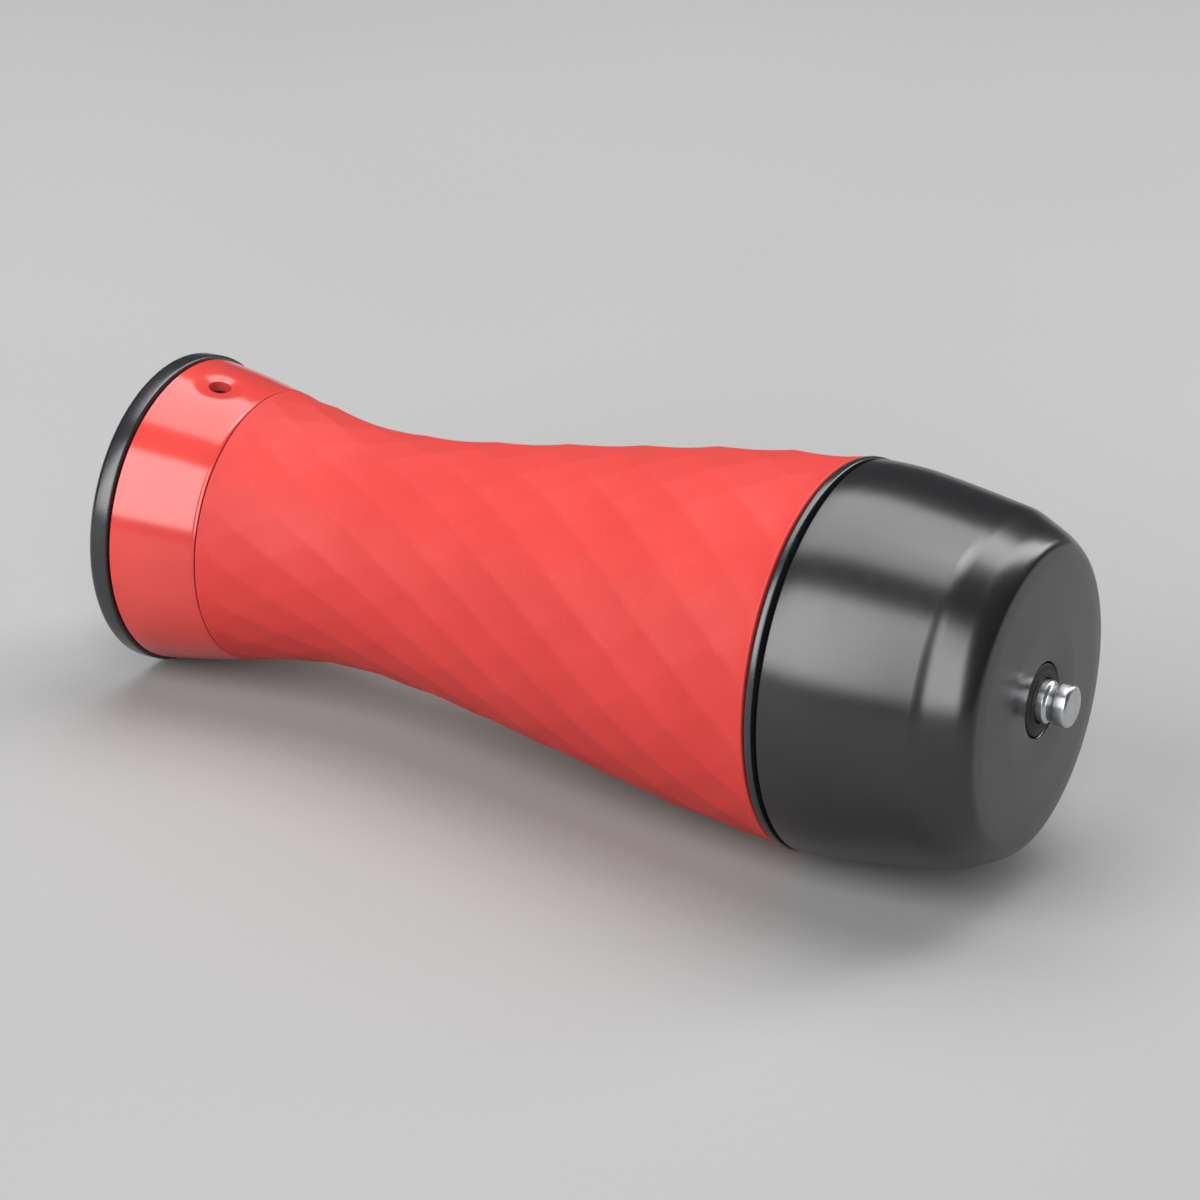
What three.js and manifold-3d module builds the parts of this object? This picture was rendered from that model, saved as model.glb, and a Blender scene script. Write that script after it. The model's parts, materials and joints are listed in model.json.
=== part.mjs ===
// Cordless massage gun: a bottle-shaped body lying on its side, as one group of named solids.
// Units are millimetres, +Z is up and +X runs along the handle towards the head.
// Every piece is drawn in the tool's own frame, whose X axis is the body's axis of revolution and
// whose origin is the centre of the seam between the red grip and the black head.

import * as THREE from 'three';
import { mergeVertices } from 'three/addons/utils/BufferGeometryUtils.js';
import Module from 'manifold-3d';

const wasm = await Module();
wasm.setup();

// ---------------------------------------------------------------- driving dimensions

// Clearance between neighbouring pieces, and how far a cutting shape runs past the face it cuts.
const GAP = 0.3;
const OVERRUN = 1;
const BODY_SIDES = 40;
const INNER_SIDES = 24;
const SMALL_SIDES = 14;

// Outer shape of the handle: distance along the axis and radius.
const HANDLE_OUTLINE = [
  [-165, 34.8], [-150, 32.5], [-135, 29.5], [-114, 26.6],
  [-90, 28.3], [-58, 33.5], [-26, 38.9], [0, 41.8],
];
const BASE_END = -165;
const BAND_START = -160;
const GRIP_START = -140;
const GRIP_END = -0.4;
const GRIP_FACETS_AROUND = 18;
const GRIP_ROW = 8.5;
const GRIP_WALL = 2.5;
const INNER_WALL = 2;

// Head: a cup that closes the front of the body.
const HEAD_OUTLINE = [
  [2.2, 41.9], [8, 41.9], [14, 41.5], [24, 40.1], [36.2, 38.1], [43.6, 34.6],
  [46.2, 32.4], [46.6, 28], [47, 16],
];
const HEAD_FACE = 47;
const HEAD_WALL = 3;
const NOSE_BORE = 8;
const HEAD_POCKET_R = 28;
const BOSS_CIRCLE_R = 25.5;
const BOSS_R = 4;
const BOSS_HOLE_R = 1.6;
const SEAM_RING_R = 42.1;
const SEAM_RING_END = 1.9;
const SPIGOT_R = 38.4;
const SPIGOT_END = 8;

// Base end.
const BASE_RING_R = 34.8;
const BASE_RING_BORE = 30;
const BASE_CAP_T = 3;
const BUTTON_R = 9.2;
const BUTTON_TRAVEL = 1;
const LIGHT_RING_R = 12.5;
const JACK_X = -150.6;
const JACK_ANGLE = THREE.MathUtils.degToRad(6);
const JACK_BORE_R = 2.2;
const JACK_NOSE_R = 3.9;
const JACK_NOSE_TOP = 28.3;
const JACK_PIN_R = 0.7;
const JACK_BORE_DEPTH = 9;
const JACK_BODY = { halfLength: 4.5, halfWidth: 5, bottom: 16.5, top: 25.2 };

// Battery: three round cells in a triangle.
const CELL_R = 9.15;
const CELL_LENGTH = 65;
const CELL_CIRCLE_R = 10.65;
const CELL_START = -139;
const HOLDER_T = 4;
const REAR_HOLDER_R = 23.3;
const FRONT_HOLDER_R = 24;
const POCKET_DEPTH = 2;

// Drive: a pancake motor under the axis turns a crank, whose rod drives the plunger.
const CRANK_X = -9.5;
const CRANK_THROW = 6;
const ROD_LENGTH = 26;
const ROD_HALF_T = 2.5;
const ROD_BIG_R = 9.2;
const ROD_SMALL_R = 4;
const CRANK_PIN_R = 3;
const WRIST_PIN_R = 1.7;
const BEARING_R = 6.5;
const DISC_R = 12.5;
const DISC_TOP = -3;
const DISC_BOTTOM = -9;
const PLATE_TOP = -10;
const PLATE_BOTTOM = -12.5;
const SHAFT_R = 2.5;
const BELL_R = 17.5;
const BELL_TOP = -14.8;
const BELL_BOTTOM = -30;
const BELL_WALL = 1.5;
const STATOR_R = 13.8;
const STATOR_TEETH = 9;
const STATOR_HUB_R = 7;
const STATOR_BOSS_R = 7.4;
const STATOR_BORE_R = 5.8;
const TOOTH_HALF_WIDTH = 1.5;
const COIL_R = 12.6;
const MAGNET_T = 1.4;
const BEARING_T = 3;

// Plunger: hollow piston behind, output stem in front.
const PISTON_R = 13.3;
const PISTON_BORE_R = 10.8;
const PISTON_START = 4.5;
const PISTON_BORE_END = 27.3;
const PISTON_END = 31.3;
const STEM_R = 4.5;
const STEM_END = 54;
const LINER_R = 15;
const BARREL_R = 17.5;
const BARREL_START = 8;
const BARREL_END = 40;
const FRAME_REAR = -27.6;
const FRAME_FRONT = 20;
const FLANGE_R = 30.5;
const FLANGE_T = 2.5;
const PLATE_HALF_WIDTH = 19;
const RAIL_INSIDE = 18;
const RAIL_OUTSIDE = 21.5;
const RAIL_TOP = 6;
const CHEEK_START = 10;
const CHEEK_INSIDE = 14;
const SCREW_HEAD_R = 2.8;
const SCREW_HEAD_T = 2;
const SCREW_R = 1.3;
const DAMPER_R = 4.2;

// Boards.
const BOARD_T = 1.6;
const BASE_BOARD_X = -156.5;
const BASE_BOARD_R = 26;
const CONTROL_BOARD = { x0: -64, x1: -33, halfWidth: 21, z: 1.6 };
const TRAY_HALF_WIDTH = 23.5;
const TRAY_TOP = -2;
const LEAD_R = 1.2;
const LEAD_CIRCLE_R = 16.5;

// ---------------------------------------------------------------- materials

const material = (color, roughness, metalness = 0) =>
  new THREE.MeshStandardMaterial({ color, roughness, metalness });

const redSilicone = material(0xe8453f, 0.6);
const redGloss = material(0xf2544c, 0.25);
const blackSatin = material(0x1a1c1f, 0.35);
const blackGloss = material(0x15171a, 0.2);
const blackRubber = material(0x101113, 0.8);
const greyNylon = material(0x3a3d41, 0.6);
const paleLens = material(0xdfe6ea, 0.3);
const castAlloy = material(0xa9adb2, 0.45, 0.9);
const steel = material(0xb9bdc2, 0.3, 1);
const bronze = material(0xb08a4e, 0.4, 1);
const copper = material(0xb8713a, 0.4, 1);
const boardGreen = material(0x1f5a3a, 0.5);
const cellBlue = material(0x2f6fb0, 0.35);
const magnetGrey = material(0x6d7075, 0.4, 0.8);
const wireRed = material(0xb4201c, 0.5);
const wireBlack = material(0x151515, 0.5);
const wireYellow = material(0xd9b13a, 0.5);

// ---------------------------------------------------------------- solids and booleans

// Welds a geometry's shared vertices and drops the triangles that close up on an axis.
function weld(geometry) {
  const bare = geometry.clone();
  bare.deleteAttribute('normal');
  bare.deleteAttribute('uv');
  const merged = mergeVertices(bare, 1e-4);
  const kept = [];
  for (let i = 0; i < merged.index.count; i += 3) {
    const [a, b, c] = [0, 1, 2].map((k) => merged.index.getX(i + k));
    if (a !== b && b !== c && c !== a) kept.push(a, b, c);
  }
  merged.setIndex(kept);
  return merged;
}

function toSolid(geometry) {
  const merged = weld(geometry);
  return new wasm.Manifold(new wasm.Mesh({
    numProp: 3,
    vertProperties: new Float32Array(merged.attributes.position.array),
    triVerts: new Uint32Array(merged.index.array),
  }));
}

function toGeometry(solid) {
  const mesh = solid.getMesh();
  const geometry = new THREE.BufferGeometry();
  geometry.setAttribute('position', new THREE.BufferAttribute(mesh.vertProperties, 3));
  geometry.setIndex(new THREE.BufferAttribute(mesh.triVerts, 1));
  geometry.computeVertexNormals();
  return geometry;
}

const cut = (base, ...tools) =>
  toGeometry(tools.reduce((left, tool) => left.subtract(toSolid(tool)), toSolid(base)));

const join = (first, ...others) =>
  toGeometry(others.reduce((sum, other) => sum.add(toSolid(other)), toSolid(first)));

const common = (first, second) => toGeometry(toSolid(first).intersect(toSolid(second)));

function block(x0, x1, y0, y1, z0, z1) {
  const box = new THREE.BoxGeometry(x1 - x0, y1 - y0, z1 - z0);
  return box.translate((x0 + x1) / 2, (y0 + y1) / 2, (z0 + z1) / 2);
}

// Revolves a loop of [distance along X, radius] points about the X axis, with a flat underneath.
// The loop runs along the outside towards +X first, and comes back along the inside.
function revolve(loop, sides) {
  const points = loop.map(([x, radius]) => new THREE.Vector2(radius, x));
  if (loop[0][1] > 0) points.push(points[0].clone());
  return new THREE.LatheGeometry(points, sides, Math.PI / sides).rotateZ(-Math.PI / 2);
}

const ringX = (inner, outer, x0, x1, sides) =>
  revolve([[x0, inner], [x0, outer], [x1, outer], [x1, inner]], sides);

const discX = (radius, x0, x1, sides) =>
  revolve([[x0, 0], [x0, radius], [x1, radius], [x1, 0]], sides);

// The same ring and disc, standing along Z.
const ringZ = (inner, outer, z0, z1, sides) =>
  ringX(inner, outer, z0, z1, sides).rotateY(-Math.PI / 2);

const discZ = (radius, z0, z1, sides) => discX(radius, z0, z1, sides).rotateY(-Math.PI / 2);

// A round wire along a smooth path.
function wire(points, radius, steps) {
  const path = new THREE.CatmullRomCurve3(points.map((p) => new THREE.Vector3(...p)));
  const section = new THREE.Shape();
  section.absarc(0, 0, radius, 0, 2 * Math.PI);
  return new THREE.ExtrudeGeometry(section, { steps, extrudePath: path, curveSegments: 3 });
}

function mesh(name, geometry, look, parent) {
  const part = new THREE.Mesh(geometry, look);
  part.name = name;
  parent.add(part);
  return part;
}

function group(parent, x = 0, y = 0, z = 0) {
  const holder = new THREE.Group();
  holder.position.set(x, y, z);
  parent.add(holder);
  return holder;
}

// ---------------------------------------------------------------- body outline

const outlineKnots = HANDLE_OUTLINE.map(([x, r]) => new THREE.Vector2(x, r));
const outlineCurve = new THREE.SplineCurve(outlineKnots);
const outlinePoints = outlineCurve.getPoints(280);

function handleRadius(x) {
  const after = outlinePoints.findIndex((p) => p.x >= x);
  const [a, b] = [outlinePoints[after - 1], outlinePoints[after]];
  return a.y + ((b.y - a.y) * (x - a.x)) / (b.x - a.x);
}

// Points of the handle outline, moved inwards by an offset.
function outline(x0, x1, count, offset) {
  return Array.from({ length: count + 1 }, (_, i) => {
    const x = x0 + ((x1 - x0) * i) / count;
    return [x, handleRadius(x) - offset];
  });
}

const tool = new THREE.Group();
const shellGroup = group(tool);
const baseGroup = group(tool);
const batteryGroup = group(tool, CELL_START, 0, 0);
const driveGroup = group(tool, CRANK_X, 0, 0);
const plungerGroup = group(tool);

// ---------------------------------------------------------------- grip sleeve

// Each row of vertices is turned half a facet on from the last, which gives the diamond facets.
function gripSleeve() {
  const rows = Math.round((GRIP_END - GRIP_START) / GRIP_ROW);
  const profile = outline(GRIP_START, GRIP_END, rows, 0);
  const loop = [[GRIP_START, 0], ...profile, [GRIP_END, 0]];
  const outer = revolve(loop, GRIP_FACETS_AROUND);
  const position = outer.attributes.position;
  const point = new THREE.Vector3();
  const axis = new THREE.Vector3(1, 0, 0);
  for (let i = 0; i < position.count; i += 1) {
    const row = THREE.MathUtils.clamp((i % loop.length) - 1, 0, rows);
    point.fromBufferAttribute(position, i);
    point.applyAxisAngle(axis, (row * Math.PI) / GRIP_FACETS_AROUND);
    position.setXYZ(i, point.x, point.y, point.z);
  }
  const bore = outline(GRIP_START - 1, GRIP_END, 6, GRIP_WALL);
  const boreEnd = [[GRIP_END + 1, handleRadius(GRIP_END) - GRIP_WALL], [GRIP_END + 1, 0]];
  return cut(outer, revolve([[GRIP_START - 1, 0], ...bore, ...boreEnd], BODY_SIDES));
}
mesh('grip_sleeve', gripSleeve(), redSilicone, shellGroup);

// ---------------------------------------------------------------- inner shell halves

const innerOffset = GRIP_WALL + GAP + 0.5;
const shellStart = BAND_START + 1.5;

function jackHole(radius) {
  const drill = discZ(radius, 20, 40, SMALL_SIDES).translate(JACK_X, 0, 0);
  return drill.rotateX(JACK_ANGLE);
}

function innerShellTube() {
  const outside = outline(shellStart, -12, 6, innerOffset);
  const spigot = [[-3, SPIGOT_R], [SPIGOT_END, SPIGOT_R]];
  const spigotBore = [[SPIGOT_END, SPIGOT_R - INNER_WALL], [-3, SPIGOT_R - INNER_WALL]];
  const inside = outline(shellStart, -12, 6, innerOffset + INNER_WALL).reverse();
  const tube = revolve([...outside, ...spigot, ...spigotBore, ...inside], BODY_SIDES);
  return cut(tube, jackHole(JACK_NOSE_R + GAP));
}

const tube = innerShellTube();
const leftHalf = block(-200, 60, GAP / 2, 60, -60, 60);
const rightHalf = block(-200, 60, -60, -GAP / 2, -60, 60);
mesh('inner_shell_left', common(tube, leftHalf), greyNylon, shellGroup);
mesh('inner_shell_right', common(tube, rightHalf), greyNylon, shellGroup);

// ---------------------------------------------------------------- head shell and seam ring

function headShell() {
  const inside = HEAD_OUTLINE.filter(([x]) => x < HEAD_FACE - HEAD_WALL)
    .map(([x, r]) => [x, r - HEAD_WALL])
    .reverse();
  const faceInside = HEAD_FACE - HEAD_WALL;
  const front = [[HEAD_FACE, NOSE_BORE], [faceInside, NOSE_BORE], [faceInside, HEAD_POCKET_R]];
  const cup = revolve([...HEAD_OUTLINE, ...front, ...inside], BODY_SIDES);
  const bosses = [];
  const holes = [];
  for (let i = 0; i < 3; i += 1) {
    const turn = (2 * Math.PI * i) / 3;
    const bossStart = BARREL_END + GAP;
    const boss = discX(BOSS_R, bossStart, faceInside + 1, SMALL_SIDES);
    const hole = discX(BOSS_HOLE_R, bossStart - OVERRUN, faceInside + 0.2, SMALL_SIDES);
    bosses.push(boss.translate(0, 0, BOSS_CIRCLE_R).rotateX(turn));
    holes.push(hole.translate(0, 0, BOSS_CIRCLE_R).rotateX(turn));
  }
  return cut(join(cup, ...bosses), ...holes);
}
mesh('head_shell', headShell(), blackSatin, shellGroup);

const seamEdge = 0.3;
const seamLoop = [
  [GAP, SPIGOT_R + GAP], [GAP, SEAM_RING_R - seamEdge], [GAP + seamEdge, SEAM_RING_R],
  [SEAM_RING_END - seamEdge, SEAM_RING_R], [SEAM_RING_END, SEAM_RING_R - seamEdge],
  [SEAM_RING_END, SPIGOT_R + GAP],
];
mesh('seam_ring', revolve(seamLoop, BODY_SIDES), blackGloss, shellGroup);

const wiperStart = HEAD_FACE - HEAD_WALL + 0.2;
const wiper = ringX(STEM_R + GAP, NOSE_BORE - GAP, wiperStart, HEAD_FACE + 0.4, INNER_SIDES);
mesh('stem_wiper', wiper, blackRubber, shellGroup);

// ---------------------------------------------------------------- base end

function baseBand() {
  const bandEnd = GRIP_START - GAP;
  const outside = outline(BAND_START, bandEnd, 2, 0);
  const inside = outline(BAND_START, bandEnd, 2, GRIP_WALL + 0.5).reverse();
  return cut(revolve([...outside, ...inside], BODY_SIDES), jackHole(JACK_BORE_R + 0.3));
}
mesh('base_band', baseBand(), redGloss, baseGroup);

const edge = 0.8;
const baseRingLoop = [
  [BASE_END, BASE_RING_BORE], [BASE_END, BASE_RING_R - edge], [BASE_END + edge, BASE_RING_R],
  [BAND_START - GAP - edge, BASE_RING_R], [BAND_START - GAP, BASE_RING_R - edge],
  [BAND_START - GAP, BASE_RING_BORE],
];
mesh('base_ring', revolve(baseRingLoop, BODY_SIDES), blackGloss, baseGroup);

const capStart = BASE_END + 1;
const capR = BASE_RING_BORE - GAP;
const capBore = LIGHT_RING_R + GAP;
const capEnd = capStart + BASE_CAP_T;
mesh('base_cap', ringX(capBore, capR, capStart, capEnd, BODY_SIDES), blackSatin, baseGroup);

const lightRing = ringX(BUTTON_R + GAP, LIGHT_RING_R, capStart, capEnd - 0.5, INNER_SIDES);
mesh('battery_light_ring', lightRing, paleLens, baseGroup);

// The button's stem stops its full travel plus a little short of the switch.
const switchStart = BASE_BOARD_X - 2;
const buttonFace = capStart + 0.2;
const buttonBack = capEnd - 1;
const buttonStemR = 2;
const buttonStemEnd = switchStart - BUTTON_TRAVEL - 0.2;
const buttonEdge = 0.6;
const buttonLoop = [
  [buttonFace, 0], [buttonFace, BUTTON_R - buttonEdge], [buttonFace + buttonEdge, BUTTON_R],
  [buttonBack, BUTTON_R], [buttonBack, buttonStemR], [buttonStemEnd, buttonStemR],
  [buttonStemEnd, 0],
];
mesh('power_button', revolve(buttonLoop, INNER_SIDES), blackGloss, baseGroup);

// The board's edge is notched round the jack.
function baseBoard() {
  const end = BASE_BOARD_X + BOARD_T;
  const disc = discX(BASE_BOARD_R, BASE_BOARD_X, end, INNER_SIDES);
  const notchHalf = 9;
  const notchFloor = 12;
  const notch = block(
    BASE_BOARD_X - OVERRUN, end + OVERRUN, -notchHalf, notchHalf, notchFloor, BASE_RING_R,
  );
  return cut(disc, notch);
}
mesh('base_board', baseBoard(), boardGreen, baseGroup);

const switchHalf = 3;
const switchBody = block(
  switchStart, BASE_BOARD_X - GAP, -switchHalf, switchHalf, -switchHalf, switchHalf,
);
mesh('power_switch', switchBody, steel, baseGroup);

// Charging jack: a box with a round nose, a bore that opens outwards and a centre pin.
function chargingJack() {
  const { halfLength, halfWidth, bottom, top } = JACK_BODY;
  const boreFloor = JACK_NOSE_TOP - JACK_BORE_DEPTH;
  const body = block(-halfLength, halfLength, -halfWidth, halfWidth, bottom, top);
  const nose = discZ(JACK_NOSE_R, top - 5, JACK_NOSE_TOP, SMALL_SIDES);
  const bore = discZ(JACK_BORE_R, boreFloor, JACK_NOSE_TOP + OVERRUN, SMALL_SIDES);
  const pin = discZ(JACK_PIN_R, boreFloor - OVERRUN, JACK_NOSE_TOP - 0.8, 10);
  return join(cut(join(body, nose), bore), pin);
}
const jack = mesh('charging_jack', chargingJack(), blackGloss, baseGroup);
jack.position.x = JACK_X;
jack.rotation.x = JACK_ANGLE;

// ---------------------------------------------------------------- battery

const cellAngles = [Math.PI / 2, (7 * Math.PI) / 6, (11 * Math.PI) / 6];
const leadAngle = Math.PI / 6;
const leadY = LEAD_CIRCLE_R * Math.cos(leadAngle);
const leadZ = LEAD_CIRCLE_R * Math.sin(leadAngle);

function cellHolder(x, radius, pocketSide) {
  const plate = discX(radius, 0, HOLDER_T, INNER_SIDES);
  const pocketStart = pocketSide > 0 ? HOLDER_T - POCKET_DEPTH : -OVERRUN;
  const pockets = cellAngles.map((angle) => {
    const pocketEnd = pocketStart + POCKET_DEPTH + OVERRUN;
    const pocket = discX(CELL_R + GAP, pocketStart, pocketEnd, INNER_SIDES);
    return pocket.translate(0, CELL_CIRCLE_R * Math.cos(angle), CELL_CIRCLE_R * Math.sin(angle));
  });
  const leadHole = discX(LEAD_R + 0.5, -OVERRUN, HOLDER_T + OVERRUN, 12);
  const holder = mesh(
    pocketSide > 0 ? 'cell_holder_rear' : 'cell_holder_front',
    cut(plate, ...pockets, leadHole.translate(0, leadY, leadZ)),
    greyNylon,
    batteryGroup,
  );
  holder.position.x = x;
}
cellHolder(-GAP - HOLDER_T + POCKET_DEPTH, REAR_HOLDER_R, 1);
cellHolder(CELL_LENGTH + GAP - POCKET_DEPTH, FRONT_HOLDER_R, -1);

cellAngles.forEach((angle, i) => {
  const cell = discX(CELL_R, 0, CELL_LENGTH, INNER_SIDES);
  const part = mesh(`battery_cell_${i + 1}`, cell, cellBlue, batteryGroup);
  part.position.set(0, CELL_CIRCLE_R * Math.cos(angle), CELL_CIRCLE_R * Math.sin(angle));
});

const leadRoute = [-154.3, -120, -80, -64.5].map((x) => [x, leadY, leadZ]);
mesh('charge_lead', wire(leadRoute, LEAD_R, 8), wireRed, baseGroup);

// ---------------------------------------------------------------- control board

const boardX0 = CONTROL_BOARD.x0;
const boardX1 = CONTROL_BOARD.x1;
const boardZ = CONTROL_BOARD.z;
const postR = 2.5;
const postInset = 3;
const postHalfSpan = 17;

function boardTray() {
  const plate = block(
    boardX0 - 1, boardX1 + 1, -TRAY_HALF_WIDTH, TRAY_HALF_WIDTH, TRAY_TOP - 2, TRAY_TOP,
  );
  const posts = [];
  for (const x of [boardX0 + postInset, boardX1 - postInset]) {
    for (const y of [-postHalfSpan, postHalfSpan]) {
      posts.push(discZ(postR, TRAY_TOP - OVERRUN, boardZ - GAP, 12).translate(x, y, 0));
    }
  }
  return join(plate, ...posts);
}
mesh('board_tray', boardTray(), greyNylon, shellGroup);

function controlBoard() {
  const { halfWidth } = CONTROL_BOARD;
  const board = block(boardX0, boardX1, -halfWidth, halfWidth, boardZ, boardZ + BOARD_T);
  const top = boardZ + BOARD_T - 0.3;
  const controller = block(-52, -44, -4, 4, top, top + 1.5);
  const connector = block(boardX1 - 6, boardX1 - 1, -6, 6, top, top + 5);
  const inlet = block(boardX0 + 1, boardX0 + 6, 9, 18, top, top + 4.5);
  const drivers = [-16, -10, 6].map((y) => block(-42, -37, y, y + 5, top, top + 1.8));
  const capacitors = [-13, -3.5].map((y) =>
    discZ(4, top, top + 10, SMALL_SIDES).translate(-57, y, 0));
  return join(board, controller, connector, inlet, ...drivers, ...capacitors);
}
mesh('control_board', controlBoard(), boardGreen, shellGroup);

// ---------------------------------------------------------------- mechanism frame

// One casting: motor plate, side rails, barrel for the plunger guide and the flange to the head.
function mechanismFrame() {
  const bar = (x0, y0, y1, z1) => block(x0, FRAME_FRONT, y0, y1, PLATE_BOTTOM, z1);
  const plate = bar(FRAME_REAR, -PLATE_HALF_WIDTH, PLATE_HALF_WIDTH, PLATE_TOP);
  const rails = [
    bar(FRAME_REAR, RAIL_INSIDE, RAIL_OUTSIDE, RAIL_TOP),
    bar(FRAME_REAR, -RAIL_OUTSIDE, -RAIL_INSIDE, RAIL_TOP),
  ];
  const cheeks = [
    bar(CHEEK_START, CHEEK_INSIDE, RAIL_OUTSIDE, RAIL_TOP),
    bar(CHEEK_START, -RAIL_OUTSIDE, -CHEEK_INSIDE, RAIL_TOP),
  ];
  const barrel = discX(BARREL_R, BARREL_START, BARREL_END, INNER_SIDES);
  const flange = discX(FLANGE_R, BARREL_END - FLANGE_T, BARREL_END, BODY_SIDES);
  const bore = discX(LINER_R + GAP, 3, BARREL_END + OVERRUN, INNER_SIDES);
  const shaftHole = discZ(4, PLATE_BOTTOM - OVERRUN, PLATE_TOP + OVERRUN, SMALL_SIDES);
  const screwHoles = [0, 1, 2].map((i) => {
    const hole = discX(SCREW_R + 0.4, BARREL_END - 4, BARREL_END + OVERRUN, 12);
    return hole.translate(0, 0, BOSS_CIRCLE_R).rotateX((2 * Math.PI * i) / 3);
  });
  const body = join(plate, ...rails, ...cheeks, barrel, flange);
  return cut(body, bore, shaftHole.translate(CRANK_X, 0, 0), ...screwHoles);
}
mesh('mechanism_frame', mechanismFrame(), castAlloy, shellGroup);

const liner = ringX(PISTON_R + GAP, LINER_R, BARREL_START + 1, BARREL_END - 0.5, INNER_SIDES);
mesh('guide_liner', liner, bronze, shellGroup);

const screwEnd = BARREL_END + 3.6;
const underHead = BARREL_END - FLANGE_T - GAP;
const headStart = underHead - SCREW_HEAD_T;
const screwLoop = [
  [headStart, 0], [headStart, SCREW_HEAD_R], [underHead, SCREW_HEAD_R], [underHead, SCREW_R],
  [screwEnd, SCREW_R], [screwEnd, 0],
];
for (let i = 0; i < 3; i += 1) {
  const screw = mesh(`frame_screw_${i + 1}`, revolve(screwLoop, 12), steel, shellGroup);
  const turn = (2 * Math.PI * i) / 3;
  screw.rotation.x = turn;
  screw.position.set(0, -BOSS_CIRCLE_R * Math.sin(turn), BOSS_CIRCLE_R * Math.cos(turn));
}

// Rubber dampers between the rails and the inner shell.
const damperSeats = [[-22, 1, 33], [-22, -1, 33], [1, 1, 35.2], [1, -1, 35.2]];
damperSeats.forEach(([x, side, reach], i) => {
  const start = RAIL_OUTSIDE + GAP;
  const damper = discX(DAMPER_R, 0, reach - start, SMALL_SIDES).rotateZ(side * (Math.PI / 2));
  const part = mesh(`damper_${i + 1}`, damper, blackRubber, shellGroup);
  part.position.set(x, side * start, 0);
});

// ---------------------------------------------------------------- motor

const coreTop = BELL_TOP - 1.2;
const coreBottom = BELL_BOTTOM + 4;

// A toothed ring; grow is the extra width of each tooth on every side.
function teeth(inner, tip, halfWidth, grow, z0, z1) {
  const hub = discZ(inner + 2 + grow, z0, z1, INNER_SIDES);
  const bars = Array.from({ length: STATOR_TEETH }, (_, i) => {
    const bar = block(inner, tip + grow, -halfWidth - grow, halfWidth + grow, z0, z1);
    return bar.rotateZ((2 * Math.PI * i) / STATOR_TEETH);
  });
  return join(hub, ...bars);
}

const stator = join(
  teeth(STATOR_HUB_R, STATOR_R - 0.4, TOOTH_HALF_WIDTH, 0, coreBottom, coreTop),
  discZ(STATOR_BOSS_R, coreBottom, PLATE_BOTTOM - GAP, INNER_SIDES),
);
const statorBore = discZ(STATOR_BORE_R, coreBottom - OVERRUN, PLATE_BOTTOM + OVERRUN, INNER_SIDES);
mesh('motor_stator', cut(stator, statorBore), steel, driveGroup);

const coilBottom = coreBottom - 1.3;
const coils = ringZ(STATOR_BOSS_R + GAP, COIL_R, coilBottom, coreTop + 0.9, INNER_SIDES);
const reliefEnds = [coreBottom - GAP, coreTop + GAP];
const coilRelief = teeth(STATOR_HUB_R, STATOR_R, TOOTH_HALF_WIDTH, GAP, ...reliefEnds);
mesh('motor_windings', cut(coils, coilRelief), copper, driveGroup);

const bell = cut(
  discZ(BELL_R, BELL_BOTTOM, BELL_TOP, INNER_SIDES),
  discZ(BELL_R - BELL_WALL, BELL_BOTTOM + BELL_WALL, BELL_TOP + 1, INNER_SIDES),
  discZ(SHAFT_R + GAP, BELL_BOTTOM - 1, BELL_TOP, SMALL_SIDES),
);
mesh('rotor_bell', bell, steel, driveGroup);

const magnetR = BELL_R - BELL_WALL - GAP;
const magnetBottom = BELL_BOTTOM + BELL_WALL + 1;
const magnets = ringZ(magnetR - MAGNET_T, magnetR, magnetBottom, BELL_TOP - 0.8, INNER_SIDES);
mesh('rotor_magnets', magnets, magnetGrey, driveGroup);
const shaft = discZ(SHAFT_R, BELL_BOTTOM + 0.4, DISC_TOP - 1, SMALL_SIDES);
mesh('motor_shaft', shaft, steel, driveGroup);

const bearingSeats = { upper: PLATE_BOTTOM - 4, lower: coreBottom + 0.4 };
for (const [place, z] of Object.entries(bearingSeats)) {
  const bearing = ringZ(SHAFT_R + GAP, STATOR_BORE_R - GAP, z, z + BEARING_T, SMALL_SIDES);
  mesh(`motor_bearing_${place}`, bearing, steel, driveGroup);
}

// Three phase leads run from the coils, over the bell's rim and up behind the plate to the board.
const leadColours = [wireRed, wireYellow, wireBlack];
leadColours.forEach((look, i) => {
  const y = (i - 1) * 3;
  const height = BELL_TOP + 1.1;
  const route = [
    [-8.6, y, height], [-14, y, height], [-18.6, y, height],
    [-20.6, y, height + 2.5], [-20.7, y, -4], [-21, y, boardZ - 0.5], [-22.8, y, boardZ + 0.8],
  ];
  mesh(`motor_lead_${i + 1}`, wire(route, 0.6, 9), look, driveGroup);
});

// ---------------------------------------------------------------- crank and rod

const pinX = -CRANK_THROW;

function crankDisc() {
  const disc = discZ(DISC_R, DISC_BOTTOM, DISC_TOP, INNER_SIDES);
  const shaftHole = discZ(SHAFT_R + GAP, DISC_BOTTOM - 1, DISC_TOP + 1, SMALL_SIDES);
  const pinHole = discZ(CRANK_PIN_R + GAP, DISC_BOTTOM - 1, DISC_TOP + 1, SMALL_SIDES);
  // Two lightening holes on the pin's side leave the other side as the counterweight.
  const light = [-1, 1].map((side) => {
    const hole = discZ(2.4, DISC_BOTTOM - 1, DISC_TOP + 1, SMALL_SIDES);
    return hole.translate(-5, side * 8, 0);
  });
  return cut(disc, shaftHole, pinHole.translate(pinX, 0, 0), ...light);
}
mesh('crank_disc', crankDisc(), steel, driveGroup);

const crankPin = mesh(
  'crank_pin',
  discZ(CRANK_PIN_R, DISC_BOTTOM + 0.5, ROD_HALF_T + 0.7, SMALL_SIDES),
  steel,
  driveGroup,
);
crankPin.position.x = pinX;

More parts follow.
